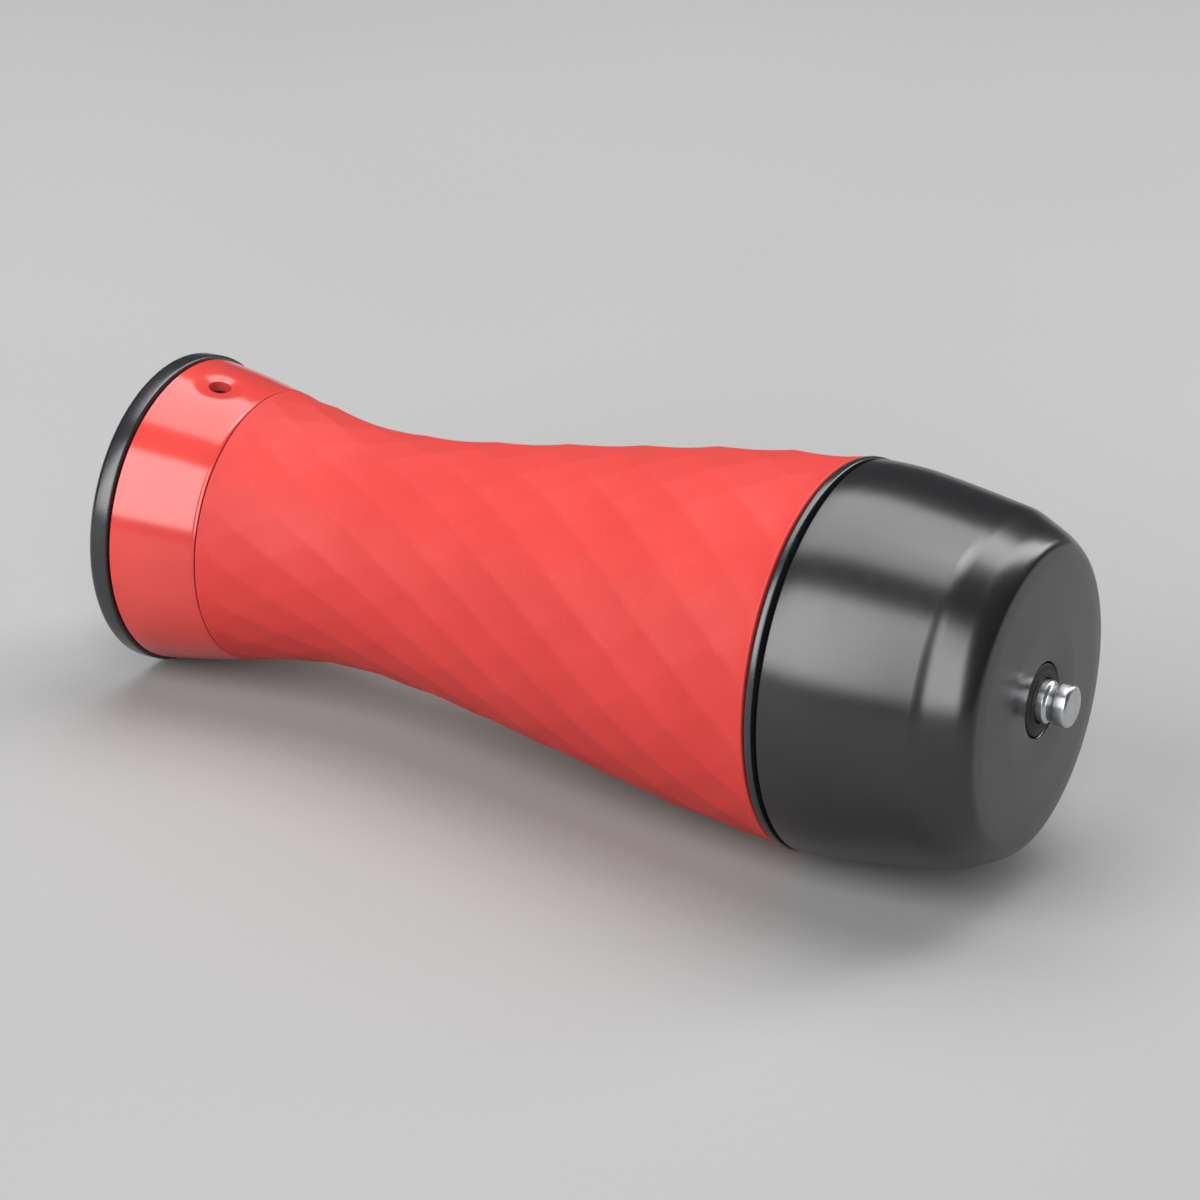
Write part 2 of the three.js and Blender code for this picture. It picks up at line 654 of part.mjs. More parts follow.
// The rod's own group starts at the crank pin and points along the plunger.
const rodGroup = group(driveGroup, pinX, 0, 0);

function connectingRod() {
  const bigEnd = discZ(ROD_BIG_R, -ROD_HALF_T, ROD_HALF_T, INNER_SIDES);
  const smallEnd = discZ(ROD_SMALL_R, -ROD_HALF_T, ROD_HALF_T, SMALL_SIDES);
  const shank = block(5, ROD_LENGTH, -2.8, 2.8, -ROD_HALF_T + 0.5, ROD_HALF_T - 0.5);
  const bigEye = discZ(BEARING_R + GAP, -4, 4, INNER_SIDES);
  const smallEye = discZ(WRIST_PIN_R + GAP, -4, 4, SMALL_SIDES);
  const rod = join(bigEnd, smallEnd.translate(ROD_LENGTH, 0, 0), shank);
  return cut(rod, bigEye, smallEye.translate(ROD_LENGTH, 0, 0));
}
mesh('connecting_rod', connectingRod(), castAlloy, rodGroup);
mesh('rod_bearing', ringZ(CRANK_PIN_R + GAP, BEARING_R, -2.3, 2.3, SMALL_SIDES), steel, rodGroup);
const wristPin = mesh('wrist_pin', discZ(WRIST_PIN_R, -4, 4, SMALL_SIDES), steel, rodGroup);
wristPin.position.x = ROD_LENGTH;

// ---------------------------------------------------------------- plunger

const groove = STEM_END - 4;
const grooveDepth = 0.7;
const stemEdge = 1;
const plungerLoop = [
  [PISTON_START, 0], [PISTON_START, PISTON_R], [PISTON_END, PISTON_R], [PISTON_END, STEM_R],
  [groove - 1.2, STEM_R], [groove - 0.6, STEM_R - grooveDepth],
  [groove + 0.6, STEM_R - grooveDepth], [groove + 1.2, STEM_R],
  [STEM_END - stemEdge, STEM_R], [STEM_END, STEM_R - stemEdge], [STEM_END, 0],
];
const pistonBore = discX(PISTON_BORE_R, PISTON_START - OVERRUN, PISTON_BORE_END, INNER_SIDES);
mesh('plunger', cut(revolve(plungerLoop, INNER_SIDES), pistonBore), steel, plungerGroup);

// ---------------------------------------------------------------- resting place

// The body lies on the seam ring and the base ring, so the axis rises a little towards the head.
const restLength = GAP + 0.3 - (BASE_END + edge);
const tilt = Math.atan2(SEAM_RING_R - BASE_RING_R, restLength);
tool.rotation.y = -tilt;

// The origin is the middle of the bounding box's underside.
const bounds = new THREE.Box3().setFromObject(tool, true);
const centre = bounds.getCenter(new THREE.Vector3());
tool.position.set(-centre.x, -centre.y, -bounds.min.z);

const massageGun = new THREE.Group();
massageGun.add(tool);

export default massageGun;
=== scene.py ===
"""Cordless massage gun lying on its side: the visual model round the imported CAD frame.

The tool's own frame has its X axis along the body of revolution and its origin at the centre of the
seam between the red grip and the black head. Shapes are drawn in it, in millimetres.
"""

import json
import math

import bmesh
import bpy
import numpy as np
from mathutils import Matrix, Vector


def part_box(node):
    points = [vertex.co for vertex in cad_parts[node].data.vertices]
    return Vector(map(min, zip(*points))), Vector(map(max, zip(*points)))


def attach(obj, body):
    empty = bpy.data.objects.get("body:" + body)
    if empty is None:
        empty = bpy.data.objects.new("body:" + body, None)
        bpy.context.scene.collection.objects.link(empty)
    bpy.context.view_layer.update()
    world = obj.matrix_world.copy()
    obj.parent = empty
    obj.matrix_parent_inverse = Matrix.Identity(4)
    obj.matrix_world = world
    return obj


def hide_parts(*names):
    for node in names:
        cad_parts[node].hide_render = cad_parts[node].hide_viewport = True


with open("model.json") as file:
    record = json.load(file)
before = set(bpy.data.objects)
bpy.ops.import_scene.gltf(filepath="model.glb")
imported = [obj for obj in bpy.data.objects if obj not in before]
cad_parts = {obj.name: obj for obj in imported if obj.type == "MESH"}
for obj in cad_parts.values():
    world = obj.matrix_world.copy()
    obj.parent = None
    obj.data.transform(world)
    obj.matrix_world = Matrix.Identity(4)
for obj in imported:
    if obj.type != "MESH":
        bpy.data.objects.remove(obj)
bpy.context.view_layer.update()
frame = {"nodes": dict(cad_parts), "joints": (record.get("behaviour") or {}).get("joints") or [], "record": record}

# ---------------------------------------------------------------- named sizes, in millimetres

MM = 0.001
# Clearance between neighbouring pieces, and the edge angle in degrees that is left sharp.
GAP = 0.3
SHARP = 32

# Outlines are distance along the axis and radius; the fillets belong to the head's last corners.
HANDLE_OUTLINE = [
    (-165, 34.8), (-150, 32.5), (-135, 29.5), (-114, 26.6),
    (-90, 28.3), (-58, 33.5), (-26, 38.9), (0, 41.8),
]
HEAD_OUTLINE = [
    (2.2, 41.9), (8, 41.9), (14, 41.5), (24, 40.1), (36.2, 38.1), (43.6, 34.6), (46.2, 32.4),
    (46.6, 28), (47, 16),
]
HEAD_FILLETS = (13, 14, 3.5, 20, 8)

BASE_END, BAND_START, BAND_END = -165, -160, -140.3
GRIP_START, GRIP_END = -140, -0.4
GRIP_WALL, BAND_WALL, HEAD_WALL = 2.5, 3, 3
FACETS_AROUND, FACET_ROWS, FACET_DEPTH = 18, 16, 0.88
SEAM_START, SEAM_END, SEAM_RING_R = 0.3, 1.9, 42.1
SPIGOT_CLEAR_R = 38.7
BASE_RING_R, BASE_RING_BORE = 34.8, 30
CAP_START, CAP_END, CAP_R, CAP_BORE = -164, -161, 29.7, 12.8
LIGHT_BORE, LIGHT_R = 9.5, 12.5
BUTTON_R, BUTTON_SOCKET_R, BUTTON_SOCKET_END = 9.2, 2, -159.7
JACK_X, JACK_ANGLE = -150.6, math.radians(6)
JACK_HOLE_R, JACK_BORE_R, JACK_BORE_DEPTH, JACK_PIN_R = 2.5, 2.2, 9, 0.7
JACK_NOSE_R, JACK_NOSE_START, JACK_NOSE_TOP = 3.9, 20, 28.3
JACK_LOW, JACK_HIGH = (-4.5, -5, 16.5), (4.5, 5, 25.2)
HEAD_FACE, NOSE_BORE, HEAD_POCKET_R = 47, 8, 28
BOSS_CIRCLE_R, BOSS_R, BOSS_HOLE_R, BOSS_START = 25.5, 4, 1.6, 40.3
SCREWS, SCREW_R, SCREW_HEAD_R, SCREW_HEAD_T, SCREW_REACH = 3, 1.3, 2.8, 2, 3.3
WIPER_BACK, WIPER_R, WIPER_RIM_R, WIPER_LIP_R = HEAD_FACE - 2.8, 7.7, 6.4, 5.9
# The stem stops a hair short of the CAD's end, so that rounding never takes it past.
STEM_R, STEM_END, GROOVE_X, GROOVE_DEPTH = 4.5, 54 - 0.02, 50, 0.7
PISTON_R, PISTON_BORE_R, PISTON_START, PISTON_BORE_END, PISTON_END = 13.3, 10.8, 4.5, 27.3, 31.3
LINER_R, LINER_START, LINER_END = 15, 9, 39.5
CELLS, CELL_START, CELL_LENGTH, CELL_R, CELL_CIRCLE_R = 3, -139, 65, 9.15, 10.65
CRANK_X, CRANK_THROW, CRANK_PIN_R, DISC_TOP, DISC_BOTTOM = -9.5, 6, 3, -3, -9
ROD_LENGTH, ROD_HALF_T, WRIST_PIN_R, WRIST_PIN_HALF = 26, 2.5, 1.7, 4
ROD_BEARING_R, ROD_BEARING_HALF = 6.5, 2.3
PLATE_BOTTOM, SHAFT_R, BELL_R, BELL_TOP, BELL_BOTTOM, BELL_WALL = -12.5, 2.5, 17.5, -14.8, -30, 1.5
CORE_BOTTOM, CORE_TOP = BELL_BOTTOM + 4, BELL_TOP - 1.2
MOTOR_BEARING_R, MOTOR_BEARING_T = 5.5, 3
DAMPER_START, DAMPER_R, DAMPER_WAIST_R = 21.8, 4.2, 3.6
BOARD_X0, BOARD_X1, BOARD_HALF_WIDTH, BOARD_Z, BOARD_T = -64, -33, 21, 1.6, 1.6
CHARGE_LEAD_Y, CHARGE_LEAD_Z, CHARGE_LEAD_R, MOTOR_LEAD_R = 14.29, 8.25, 1.2, 0.6

# ---------------------------------------------------------------- the tool's own frame

joints = {joint["name"]: joint for joint in frame["joints"]}
axis_x = Vector(joints["plunger_slide"]["axis"]).normalized()
axis_z = Vector(joints["crank_spin"]["axis"])
axis_z = (axis_z - axis_x * axis_z.dot(axis_x)).normalized()
axis_y = axis_z.cross(axis_x)
seam_low, seam_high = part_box("seam_ring")
seam_middle = (SEAM_START + SEAM_END) / 2 * MM
origin = (seam_low + seam_high) / 2 - axis_x * seam_middle
TOOL = Matrix.Translation(origin) @ Matrix((axis_x, axis_y, axis_z)).transposed().to_4x4()

# Turns the x axis of a revolved shape onto the z axis of its place.
ALONG_Z = Matrix.Rotation(-math.pi / 2, 4, "Y")

# The CAD rings are polygons that lie on a flat, so a round piece is this much smaller.
ROUND = (seam_high.y - seam_low.y) / 2 / (SEAM_RING_R * MM)


def spline(points, step=0.6):
    """Points of a smooth curve through (x, r) points, as the CAD outline is drawn."""
    pts = np.array(points, float)
    made = []
    for i in range(len(pts) - 1):
        p0, p1, p2, p3 = (pts[min(max(i + k, 0), len(pts) - 1)] for k in (-1, 0, 1, 2))
        count = max(2, int(abs(p2[0] - p1[0]) / step))
        for t in np.arange(count) / count:
            v0, v1 = (p2 - p0) / 2, (p3 - p1) / 2
            made.append(
                (2 * p1 - 2 * p2 + v0 + v1) * t**3
                + (3 * p2 - 3 * p1 - 2 * v0 - v1) * t**2
                + v0 * t + p1
            )
    return np.array([*made, pts[-1]])


HANDLE = spline(HANDLE_OUTLINE)
HANDLE_HIGH, HANDLE_X = HANDLE[:, 1], HANDLE[:, 0]


def handle_radius(x):
    return np.interp(x, HANDLE_X, HANDLE_HIGH) * ROUND


# ---------------------------------------------------------------- mesh helpers


def filleted(corners, steps=5):
    """A loop of (x, r) points from (x, r, fillet radius) corners."""
    loop = []
    count = len(corners)
    for i, corner in enumerate(corners):
        here = np.array(corner[:2], float)
        radius = corner[2] if len(corner) > 2 else 0
        if not radius:
            loop.append(tuple(here))
            continue
        before = np.array(corners[i - 1][:2], float) - here
        after = np.array(corners[(i + 1) % count][:2], float) - here
        before /= np.linalg.norm(before)
        after /= np.linalg.norm(after)
        half = math.acos(np.clip(before @ after, -1, 1)) / 2
        centre = here + (before + after) / np.linalg.norm(before + after) * radius / math.sin(half)
        reach = radius / math.tan(half)
        start, end = here + before * reach - centre, here + after * reach - centre
        turn = math.pi - 2 * half
        for t in np.linspace(0, 1, steps + 1):
            arm = (start * math.sin((1 - t) * turn) + end * math.sin(t * turn)) / math.sin(turn)
            loop.append(tuple(centre + arm))
    return loop


def mirrored(corners, middle=0.0):
    """Corners, then the same ones reflected about x = middle, in reverse."""
    return [*corners, *((2 * middle - x, *rest) for x, *rest in reversed(corners))]


def revolved(loop, sides=160):
    """Vertices and faces of a closed loop of (x, r) points turned about the tool's axis."""
    verts, faces, rings = [], [], []
    for x, r in loop:
        if r < 1e-6:
            rings.append([len(verts)])
            verts.append((x, 0, 0))
            continue
        rings.append(list(range(len(verts), len(verts) + sides)))
        for k in range(sides):
            angle = 2 * math.pi * (k + 0.5) / sides
            verts.append((x, -r * math.sin(angle), r * math.cos(angle)))
    pairs = list(zip(rings, rings[1:]))
    if len(rings[0]) > 1:
        pairs.append((rings[-1], rings[0]))
    for a, b in pairs:
        for k in range(sides):
            n = (k + 1) % sides
            if len(a) == 1 and len(b) == 1:
                continue
            if len(a) == 1:
                faces.append((a[0], b[k], b[n]))
            elif len(b) == 1:
                faces.append((a[k], b[0], a[n]))
            else:
                faces.append((a[k], b[k], b[n], a[n]))
    return verts, faces


def new_object(name, verts, faces, sharp=SHARP, place=TOOL):
    """A clean mesh object from points in millimetres, its faces pointing out."""
    mesh = bpy.data.meshes.new(name)
    mesh.from_pydata([Vector(v) * MM for v in verts], [], faces)
    mesh.transform(place)
    made = bmesh.new()
    made.from_mesh(mesh)
    bmesh.ops.recalc_face_normals(made, faces=made.faces)
    made.to_mesh(mesh)
    made.free()
    obj = bpy.data.objects.new(name, mesh)
    bpy.context.scene.collection.objects.link(obj)
    soften(obj, sharp)
    return obj


def soften(obj, sharp=SHARP):
    """Smooth shading that breaks at edges sharper than this many degrees."""
    obj.data.shade_smooth()
    obj.data.set_sharp_from_angle(angle=math.radians(sharp))


def combine(obj, other, operation):
    """Joins or cuts two closed meshes and keeps the result in the first."""
    bpy.context.view_layer.update()
    step = obj.modifiers.new("combine", "BOOLEAN")
    step.object, step.operation, step.solver = other, operation, "EXACT"
    graph = bpy.context.evaluated_depsgraph_get()
    result = bpy.data.meshes.new_from_object(obj.evaluated_get(graph))
    obj.modifiers.clear()
    obj.data = result
    bpy.data.objects.remove(other)
    return obj


def block(name, low, high, bevel, place=TOOL):
    """A box between two corners with rounded edges."""
    xs, ys, zs = zip(low, high)
    corners = [(x, y, z) for x in xs for y in ys for z in zs]
    faces = [(0, 1, 3, 2), (4, 6, 7, 5), (0, 4, 5, 1), (2, 3, 7, 6), (0, 2, 6, 4), (1, 5, 7, 3)]
    obj = new_object(name, corners, faces, SHARP, place)
    made = bmesh.new()
    made.from_mesh(obj.data)
    bmesh.ops.bevel(made, geom=made.edges[:], offset=bevel * MM, segments=3, affect="EDGES", profile=0.5)
    made.to_mesh(obj.data)
    made.free()
    soften(obj)
    return obj


def finish_piece(obj, node, slot, body="housing"):
    """Gives a new piece the look named by its slot and the body it rides on, and hides the CAD node it replaces.
    """
    obj.data.materials.clear()
    obj.data.materials.append(LOOKS[slot])
    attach(obj, body)
    if node:
        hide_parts(node)


def turned(name, corners, slot, body="housing", sides=160, place=TOOL, steps=5):
    """A piece turned about the tool's axis, or about another one given by place."""
    verts, faces = revolved(filleted(corners, steps), sides)
    finish_piece(new_object(name + "_fine", verts, faces, SHARP, place), name, slot, body)


# ---------------------------------------------------------------- materials


class Nodes:
    """A material's node tree, with a few short ways to add what the looks here need."""

    def __init__(self, name):
        self.material = bpy.data.materials.new(name)
        self.material.use_nodes = True
        self.tree = self.material.node_tree
        self.shader = self.tree.nodes["Principled BSDF"]
        self.where = self.add("ShaderNodeTexCoord").outputs["Object"]

    def add(self, kind, **values):
        node = self.tree.nodes.new(kind)
        for key, value in values.items():
            setattr(node, key, value)
        return node

    def link(self, out, socket):
        self.tree.links.new(out, socket)

    def noise(self, size, detail=3.0, rough=0.55, stretch=None):
        """Noise whose features are about size millimetres across."""
        node = self.add("ShaderNodeTexNoise")
        node.inputs["Scale"].default_value = 1 / (size * MM)
        node.inputs["Detail"].default_value = detail
        node.inputs["Roughness"].default_value = rough
        self.link(self.stretched(stretch), node.inputs["Vector"])
        return node.outputs["Fac"]

    def cells(self, size):
        """Distance to the nearest of points about size millimetres apart."""
        node = self.add("ShaderNodeTexVoronoi", feature="F1")
        node.inputs["Scale"].default_value = 1 / (size * MM)
        self.link(self.where, node.inputs["Vector"])
        return node.outputs["Distance"]

    def stretched(self, stretch):
        if stretch is None:
            return self.where
        node = self.add("ShaderNodeMapping")
        node.inputs["Scale"].default_value = stretch
        self.link(self.where, node.inputs["Vector"])
        return node.outputs["Vector"]

    def span(self, value, low, high, to_low, to_high):
        """The value from low..high carried to to_low..to_high, clamped."""
        node = self.add("ShaderNodeMapRange", clamp=True)
        ends = {"From Min": low, "From Max": high, "To Min": to_low, "To Max": to_high}
        for key, number in ends.items():
            node.inputs[key].default_value = number
        self.link(value, node.inputs["Value"])
        return node.outputs["Result"]

    def math(self, how, a, b):
        node = self.add("ShaderNodeMath", operation=how)
        for socket, value in zip(node.inputs, (a, b)):
            if isinstance(value, (int, float)):
                socket.default_value = value
            else:
                self.link(value, socket)
        return node.outputs[0]

    def mix(self, share, a, b):
        """A colour between a and b, each a colour or a socket."""
        node = self.add("ShaderNodeMix", data_type="RGBA")
        self.link(share, node.inputs["Factor"])
        for socket, value in ((node.inputs[6], a), (node.inputs[7], b)):
            if isinstance(value, tuple):
                socket.default_value = (*value, 1)
            else:
                self.link(value, socket)
        return node.outputs[2]

    def edges(self, low=0.52, high=0.6):
        """Near 1 on convex edges and 0 on flats."""
        return self.span(self.add("ShaderNodeNewGeometry").outputs["Pointiness"], low, high, 0, 1)

    def bump(self, height, strength, distance, under=None):
        node = self.add("ShaderNodeBump")
        node.inputs["Strength"].default_value = strength
        node.inputs["Distance"].default_value = distance * MM
        self.link(height, node.inputs["Height"])
        if under is not None:
            self.link(under, node.inputs["Normal"])
        return node.outputs["Normal"]

    def done(self, color, rough, normal, **constants):
        shader = self.shader
        self.link(color, shader.inputs["Base Color"])
        self.link(rough, shader.inputs["Roughness"])
        self.link(normal, shader.inputs["Normal"])
        for key, value in constants.items():
            shader.inputs[key.replace("_", " ")].default_value = value
        return self.material


def moulded(name, color, drift, worn, rough, vary, grain_size, grain, wear=0.35, **constants):
    """Moulded plastic or rubber: slow colour drift, handling marks, fine grain and lighter edges."""
    n = Nodes(name)
    slow = n.span(n.noise(18, 2), 0.35, 0.65, 0, 1)
    marks = n.span(n.noise(2.6, 5, 0.7), 0.42, 0.72, 0, 1)
    fine = n.noise(grain_size, 2)
    tone = n.mix(slow, color, drift)
    tone = n.mix(n.math("MULTIPLY", n.edges(), wear), tone, worn)
    handled = n.span(marks, 0, 1, rough - vary, rough + vary)
    level = n.math("ADD", handled, n.span(fine, 0.3, 0.7, -vary, vary))
    return n.done(tone, level, n.bump(fine, grain, grain_size * 0.25), **constants)


def machined(name, color, dark, rough, stretch, **constants):
    """Metal with tool marks drawn out along one direction, faint stains and bright edges."""
    n = Nodes(name)
    lines = n.noise(0.35, 3, 0.6, stretch)
    stains = n.span(n.noise(6, 4), 0.4, 0.7, 0, 1)
    tone = n.mix(n.math("MULTIPLY", stains, 0.5), color, dark)
    tone = n.mix(n.math("MULTIPLY", n.edges(), 0.4), tone, tuple(min(1, c * 1.2) for c in color))
    tooled = n.span(lines, 0.3, 0.7, rough - 0.08, rough + 0.08)
    level = n.math("ADD", tooled, n.span(stains, 0, 1, 0, 0.08))
    return n.done(tone, level, n.bump(lines, 0.25, 0.02), Metallic=1.0, **constants)


RED = (0.53, 0.04, 0.034)
RED_DEEP = (0.49, 0.035, 0.03)
RED_PALE = (0.62, 0.07, 0.06)


def silicone():
    """Matte silicone of the grip: powdery grain, skin-worn ridges and a little dust in random patches."""
    n = Nodes("red_silicone")
    slow = n.span(n.noise(25, 2), 0.35, 0.65, 0, 1)
    pores = n.cells(0.55)
    dust = n.span(n.noise(1.1, 6, 0.75), 0.56, 0.8, 0, 1)
    tone = n.mix(slow, RED, RED_DEEP)
    tone = n.mix(n.math("MULTIPLY", n.edges(0.505, 0.54), 0.18), tone, RED_PALE)
    tone = n.mix(n.math("MULTIPLY", dust, 0.05), tone, (0.95, 0.5, 0.45))
    level = n.math("ADD", n.span(slow, 0, 1, 0.5, 0.56), n.span(pores, 0, 0.6, -0.03, 0.04))
    normal = n.bump(pores, 0.16, 0.05, n.bump(n.noise(3.5, 3), 0.1, 0.08))
    return n.done(
        tone, level, normal,
        Specular_IOR_Level=0.28, Subsurface_Weight=0.04,
        Subsurface_Radius=(1.0, 0.2, 0.12), Subsurface_Scale=0.0012,
    )


def lens():
    """Frosted light guide with a cloudy core."""
    n = Nodes("pale_lens")
    cloud = n.span(n.noise(1.6, 3), 0.3, 0.7, 0, 1)
    tone = n.mix(cloud, (0.82, 0.86, 0.9), (0.66, 0.72, 0.78))
    return n.done(
        tone, n.span(cloud, 0, 1, 0.26, 0.36), n.bump(n.noise(0.4), 0.08, 0.03),
        Subsurface_Weight=0.3, Subsurface_Scale=0.001,
    )


LOOKS = {
    "red_silicone": silicone(),
    "red_gloss": moulded(
        "red_gloss", (0.56, 0.05, 0.042), (0.52, 0.044, 0.037), (0.64, 0.09, 0.075),
        0.16, 0.01, 0.5, 0.012, 0.2, Specular_IOR_Level=0.6,
    ),
    "black_satin": moulded(
        "black_satin", (0.006, 0.0062, 0.0065), (0.008, 0.0081, 0.0085), (0.03, 0.03, 0.032),
        0.25, 0.012, 0.28, 0.03, Specular_IOR_Level=0.8,
    ),
    "black_gloss": moulded(
        "black_gloss", (0.008, 0.009, 0.011), (0.011, 0.012, 0.014), (0.04, 0.044, 0.05),
        0.27, 0.02, 0.35, 0.03, Specular_IOR_Level=0.9,
    ),
    "black_rubber": moulded(
        "black_rubber", (0.012, 0.012, 0.012), (0.02, 0.02, 0.02), (0.06, 0.06, 0.06),
        0.62, 0.05, 0.3, 0.2, Specular_IOR_Level=0.35,
    ),
    "grey_nylon": moulded(
        "grey_nylon", (0.045, 0.048, 0.052), (0.06, 0.063, 0.067), (0.13, 0.13, 0.135),
        0.5, 0.05, 0.4, 0.15,
    ),
    "pale_lens": lens(),
    "board_green": moulded(
        "board_green", (0.012, 0.1, 0.045), (0.02, 0.14, 0.06), (0.3, 0.26, 0.12),
        0.3, 0.04, 0.9, 0.1, Coat_Weight=0.4,
    ),
    "cell_wrap": moulded(
        "cell_wrap", (0.03, 0.16, 0.45), (0.04, 0.2, 0.5), (0.1, 0.3, 0.6),
        0.28, 0.04, 1.2, 0.06, Coat_Weight=0.3,
    ),
    "wire_red": moulded(
        "wire_red", (0.5, 0.02, 0.015), (0.6, 0.03, 0.02), (0.7, 0.1, 0.08), 0.42, 0.04, 0.3, 0.1,
    ),
    "wire_yellow": moulded(
        "wire_yellow", (0.7, 0.45, 0.04), (0.75, 0.5, 0.06), (0.8, 0.6, 0.2), 0.42, 0.04, 0.3, 0.1,
    ),
    "wire_black": moulded(
        "wire_black", (0.01, 0.01, 0.01), (0.02, 0.02, 0.02), (0.05, 0.05, 0.05), 0.42, 0.04, 0.3, 0.1,
    ),
    "cast_alloy": machined("cast_alloy", (0.42, 0.43, 0.45), (0.3, 0.31, 0.33), 0.46, (1, 1, 1)),
    "steel": machined("steel", (0.56, 0.57, 0.59), (0.42, 0.43, 0.44), 0.27, (12, 1, 1)),
    "bronze": machined("bronze", (0.5, 0.33, 0.12), (0.3, 0.2, 0.08), 0.4, (6, 1, 1)),
    "copper": machined("copper", (0.6, 0.25, 0.1), (0.4, 0.15, 0.06), 0.34, (1, 1, 8)),
    "magnet": machined("magnet", (0.3, 0.31, 0.33), (0.2, 0.2, 0.22), 0.35, (1, 1, 6)),
}

# ---------------------------------------------------------------- the red grip


def diamond_relief(row, column):
    """How deep each point lies below the outline, 0 on the ridges and 1 in a facet's middle.

    Ridges follow two families of helices. The one that falls towards the head on the near side is
    the sharper one, so the facets read as twisted bands.
    """
    strong, weak = 0.7, 0.3
    rounding = 0.02
    depth = 0
    for share, phase in ((strong, column - row / 2), (weak, column + row / 2)):
        across = phase - np.floor(phase)
        off = np.minimum(across, 1 - across)
        off = np.sqrt(off**2 + rounding**2) - rounding
        depth = depth + share * 4 * off * (1 - off)
    return depth


def ring_points(x, r, sides, shift=0.0):
    """One ring of points about the axis; r is a number or one radius for each point."""
    angle = (np.arange(sides) + shift) * 2 * math.pi / sides
    return np.stack([np.full(sides, x), -r * np.sin(angle), r * np.cos(angle)], axis=1)


def grip_sleeve():
    """Diamonds whose sides follow the ridges, rounded lips at both ends, and the plain bore."""
    per_row, per_facet, lip, lip_steps, bore_rings, fade_length = 14, 14, 0.5, 5, 24, 3.5
    sides = FACETS_AROUND * per_facet
    rows = FACET_ROWS * per_row
    drop = FACET_DEPTH * (1 - math.cos(math.pi / FACETS_AROUND))
    rings = []
    for i in range(rows + 1):
        row, shift = i / per_row, (i % 2) / 2
        x = GRIP_START + (GRIP_END - GRIP_START) * i / rows
        x = min(max(x, GRIP_START + lip), GRIP_END - lip)
        inside = min(x - GRIP_START, GRIP_END - x) - lip
        fade = min(1, inside / fade_length) ** 0.7
        column = (np.arange(sides) + shift) / per_facet
        relief = drop * diamond_relief(row, column) * fade
        rings.append(ring_points(x, handle_radius(x) * (1 - relief), sides, shift))
    faces = []
    for i in range(rows - 1):
        for k in range(sides):
            right = (k + i % 2) % sides
            low = (i + 1) * sides
            faces.append((i * sides + k, low + right, (i + 2) * sides + k, low + (right - 1) % sides))
    for k in range(sides):
        n = (k + 1) % sides
        faces.append((k, sides + k, n))
        faces.append((rows * sides + k, rows * sides + n, (rows - 1) * sides + k))
    turns = np.linspace(0, math.pi / 2, lip_steps)
    front, rear = handle_radius(GRIP_END) - lip, handle_radius(GRIP_START) - lip
    loop = [(GRIP_END - lip + lip * math.sin(t), front + lip * math.cos(t)) for t in turns[1:]]
    for x in np.linspace(GRIP_END, GRIP_START, bore_rings):
        loop.append((x, handle_radius(x) - GRIP_WALL))
    loop += [(GRIP_START + lip - lip * math.cos(t), rear + lip * math.sin(t)) for t in turns[:-1]]
    for x, r in loop:
        rings.append(ring_points(x, r, sides))
    order = [*range(rows, len(rings)), 0]
    for a, b in zip(order, order[1:]):
        for k in range(sides):
            n = (k + 1) % sides
            faces.append((a * sides + k, b * sides + k, b * sides + n, a * sides + n))
    obj = new_object("grip_sleeve_fine", np.concatenate(rings), faces, sharp=60)
    finish_piece(obj, "grip_sleeve", "red_silicone")


grip_sleeve()

# ---------------------------------------------------------------- base end


def jack_place():
    """The jack's own axis: its z points out through the band."""
    side = Matrix.Rotation(JACK_ANGLE, 4, "X")
    return TOOL @ Matrix.Translation((JACK_X * MM, 0, 0)) @ side


def upright(name, loop, place, sides=64):
    """A turned piece whose own axis is the place's z."""
    return new_object(name, *revolved(loop, sides), SHARP, place @ ALONG_Z)


def base_band():
    """Glossy band, pressed in round the jack hole."""
    dish_r, dish_depth, dish_middle_r = 6.6, 1.1, 32.5
    step, edge, sharp = 0.45, 0.35, 40
    xs = np.arange(BAND_START + edge, BAND_END - GAP, step)
    outside = [(x, handle_radius(x)) for x in xs]
    corners = [(BAND_START, outside[0][1] - edge), *outside, (BAND_END, outside[-1][1] - edge)]
    inside = [(x, handle_radius(x) - BAND_WALL) for x in np.linspace(BAND_END, BAND_START, 8)]
    verts, faces = revolved([*corners, *inside], 480)
    aside, up = -math.sin(JACK_ANGLE) * dish_middle_r, math.cos(JACK_ANGLE) * dish_middle_r
    points = np.array(verts)
    radius = np.hypot(points[:, 1], points[:, 2])
    far = np.linalg.norm(points - np.array([JACK_X, aside, up]), axis=1)
    outer = radius > handle_radius(points[:, 0]) - BAND_WALL / 2
    bowl = dish_depth * (0.5 + 0.5 * np.cos(math.pi * far / dish_r))
    press = np.where(outer & (far < dish_r), bowl, 0)
    points[:, 1:] *= (1 - press / radius)[:, None]
    obj = new_object("base_band_fine", points, faces, sharp)
    inside_wall, outside_wall = 20, 40
    drill = [(inside_wall, 0), (inside_wall, JACK_HOLE_R), (outside_wall, JACK_HOLE_R), (outside_wall, 0)]
    combine(obj, upright("drill", drill, jack_place()), "DIFFERENCE")
    soften(obj, sharp)
    finish_piece(obj, "base_band", "red_gloss")


base_band()


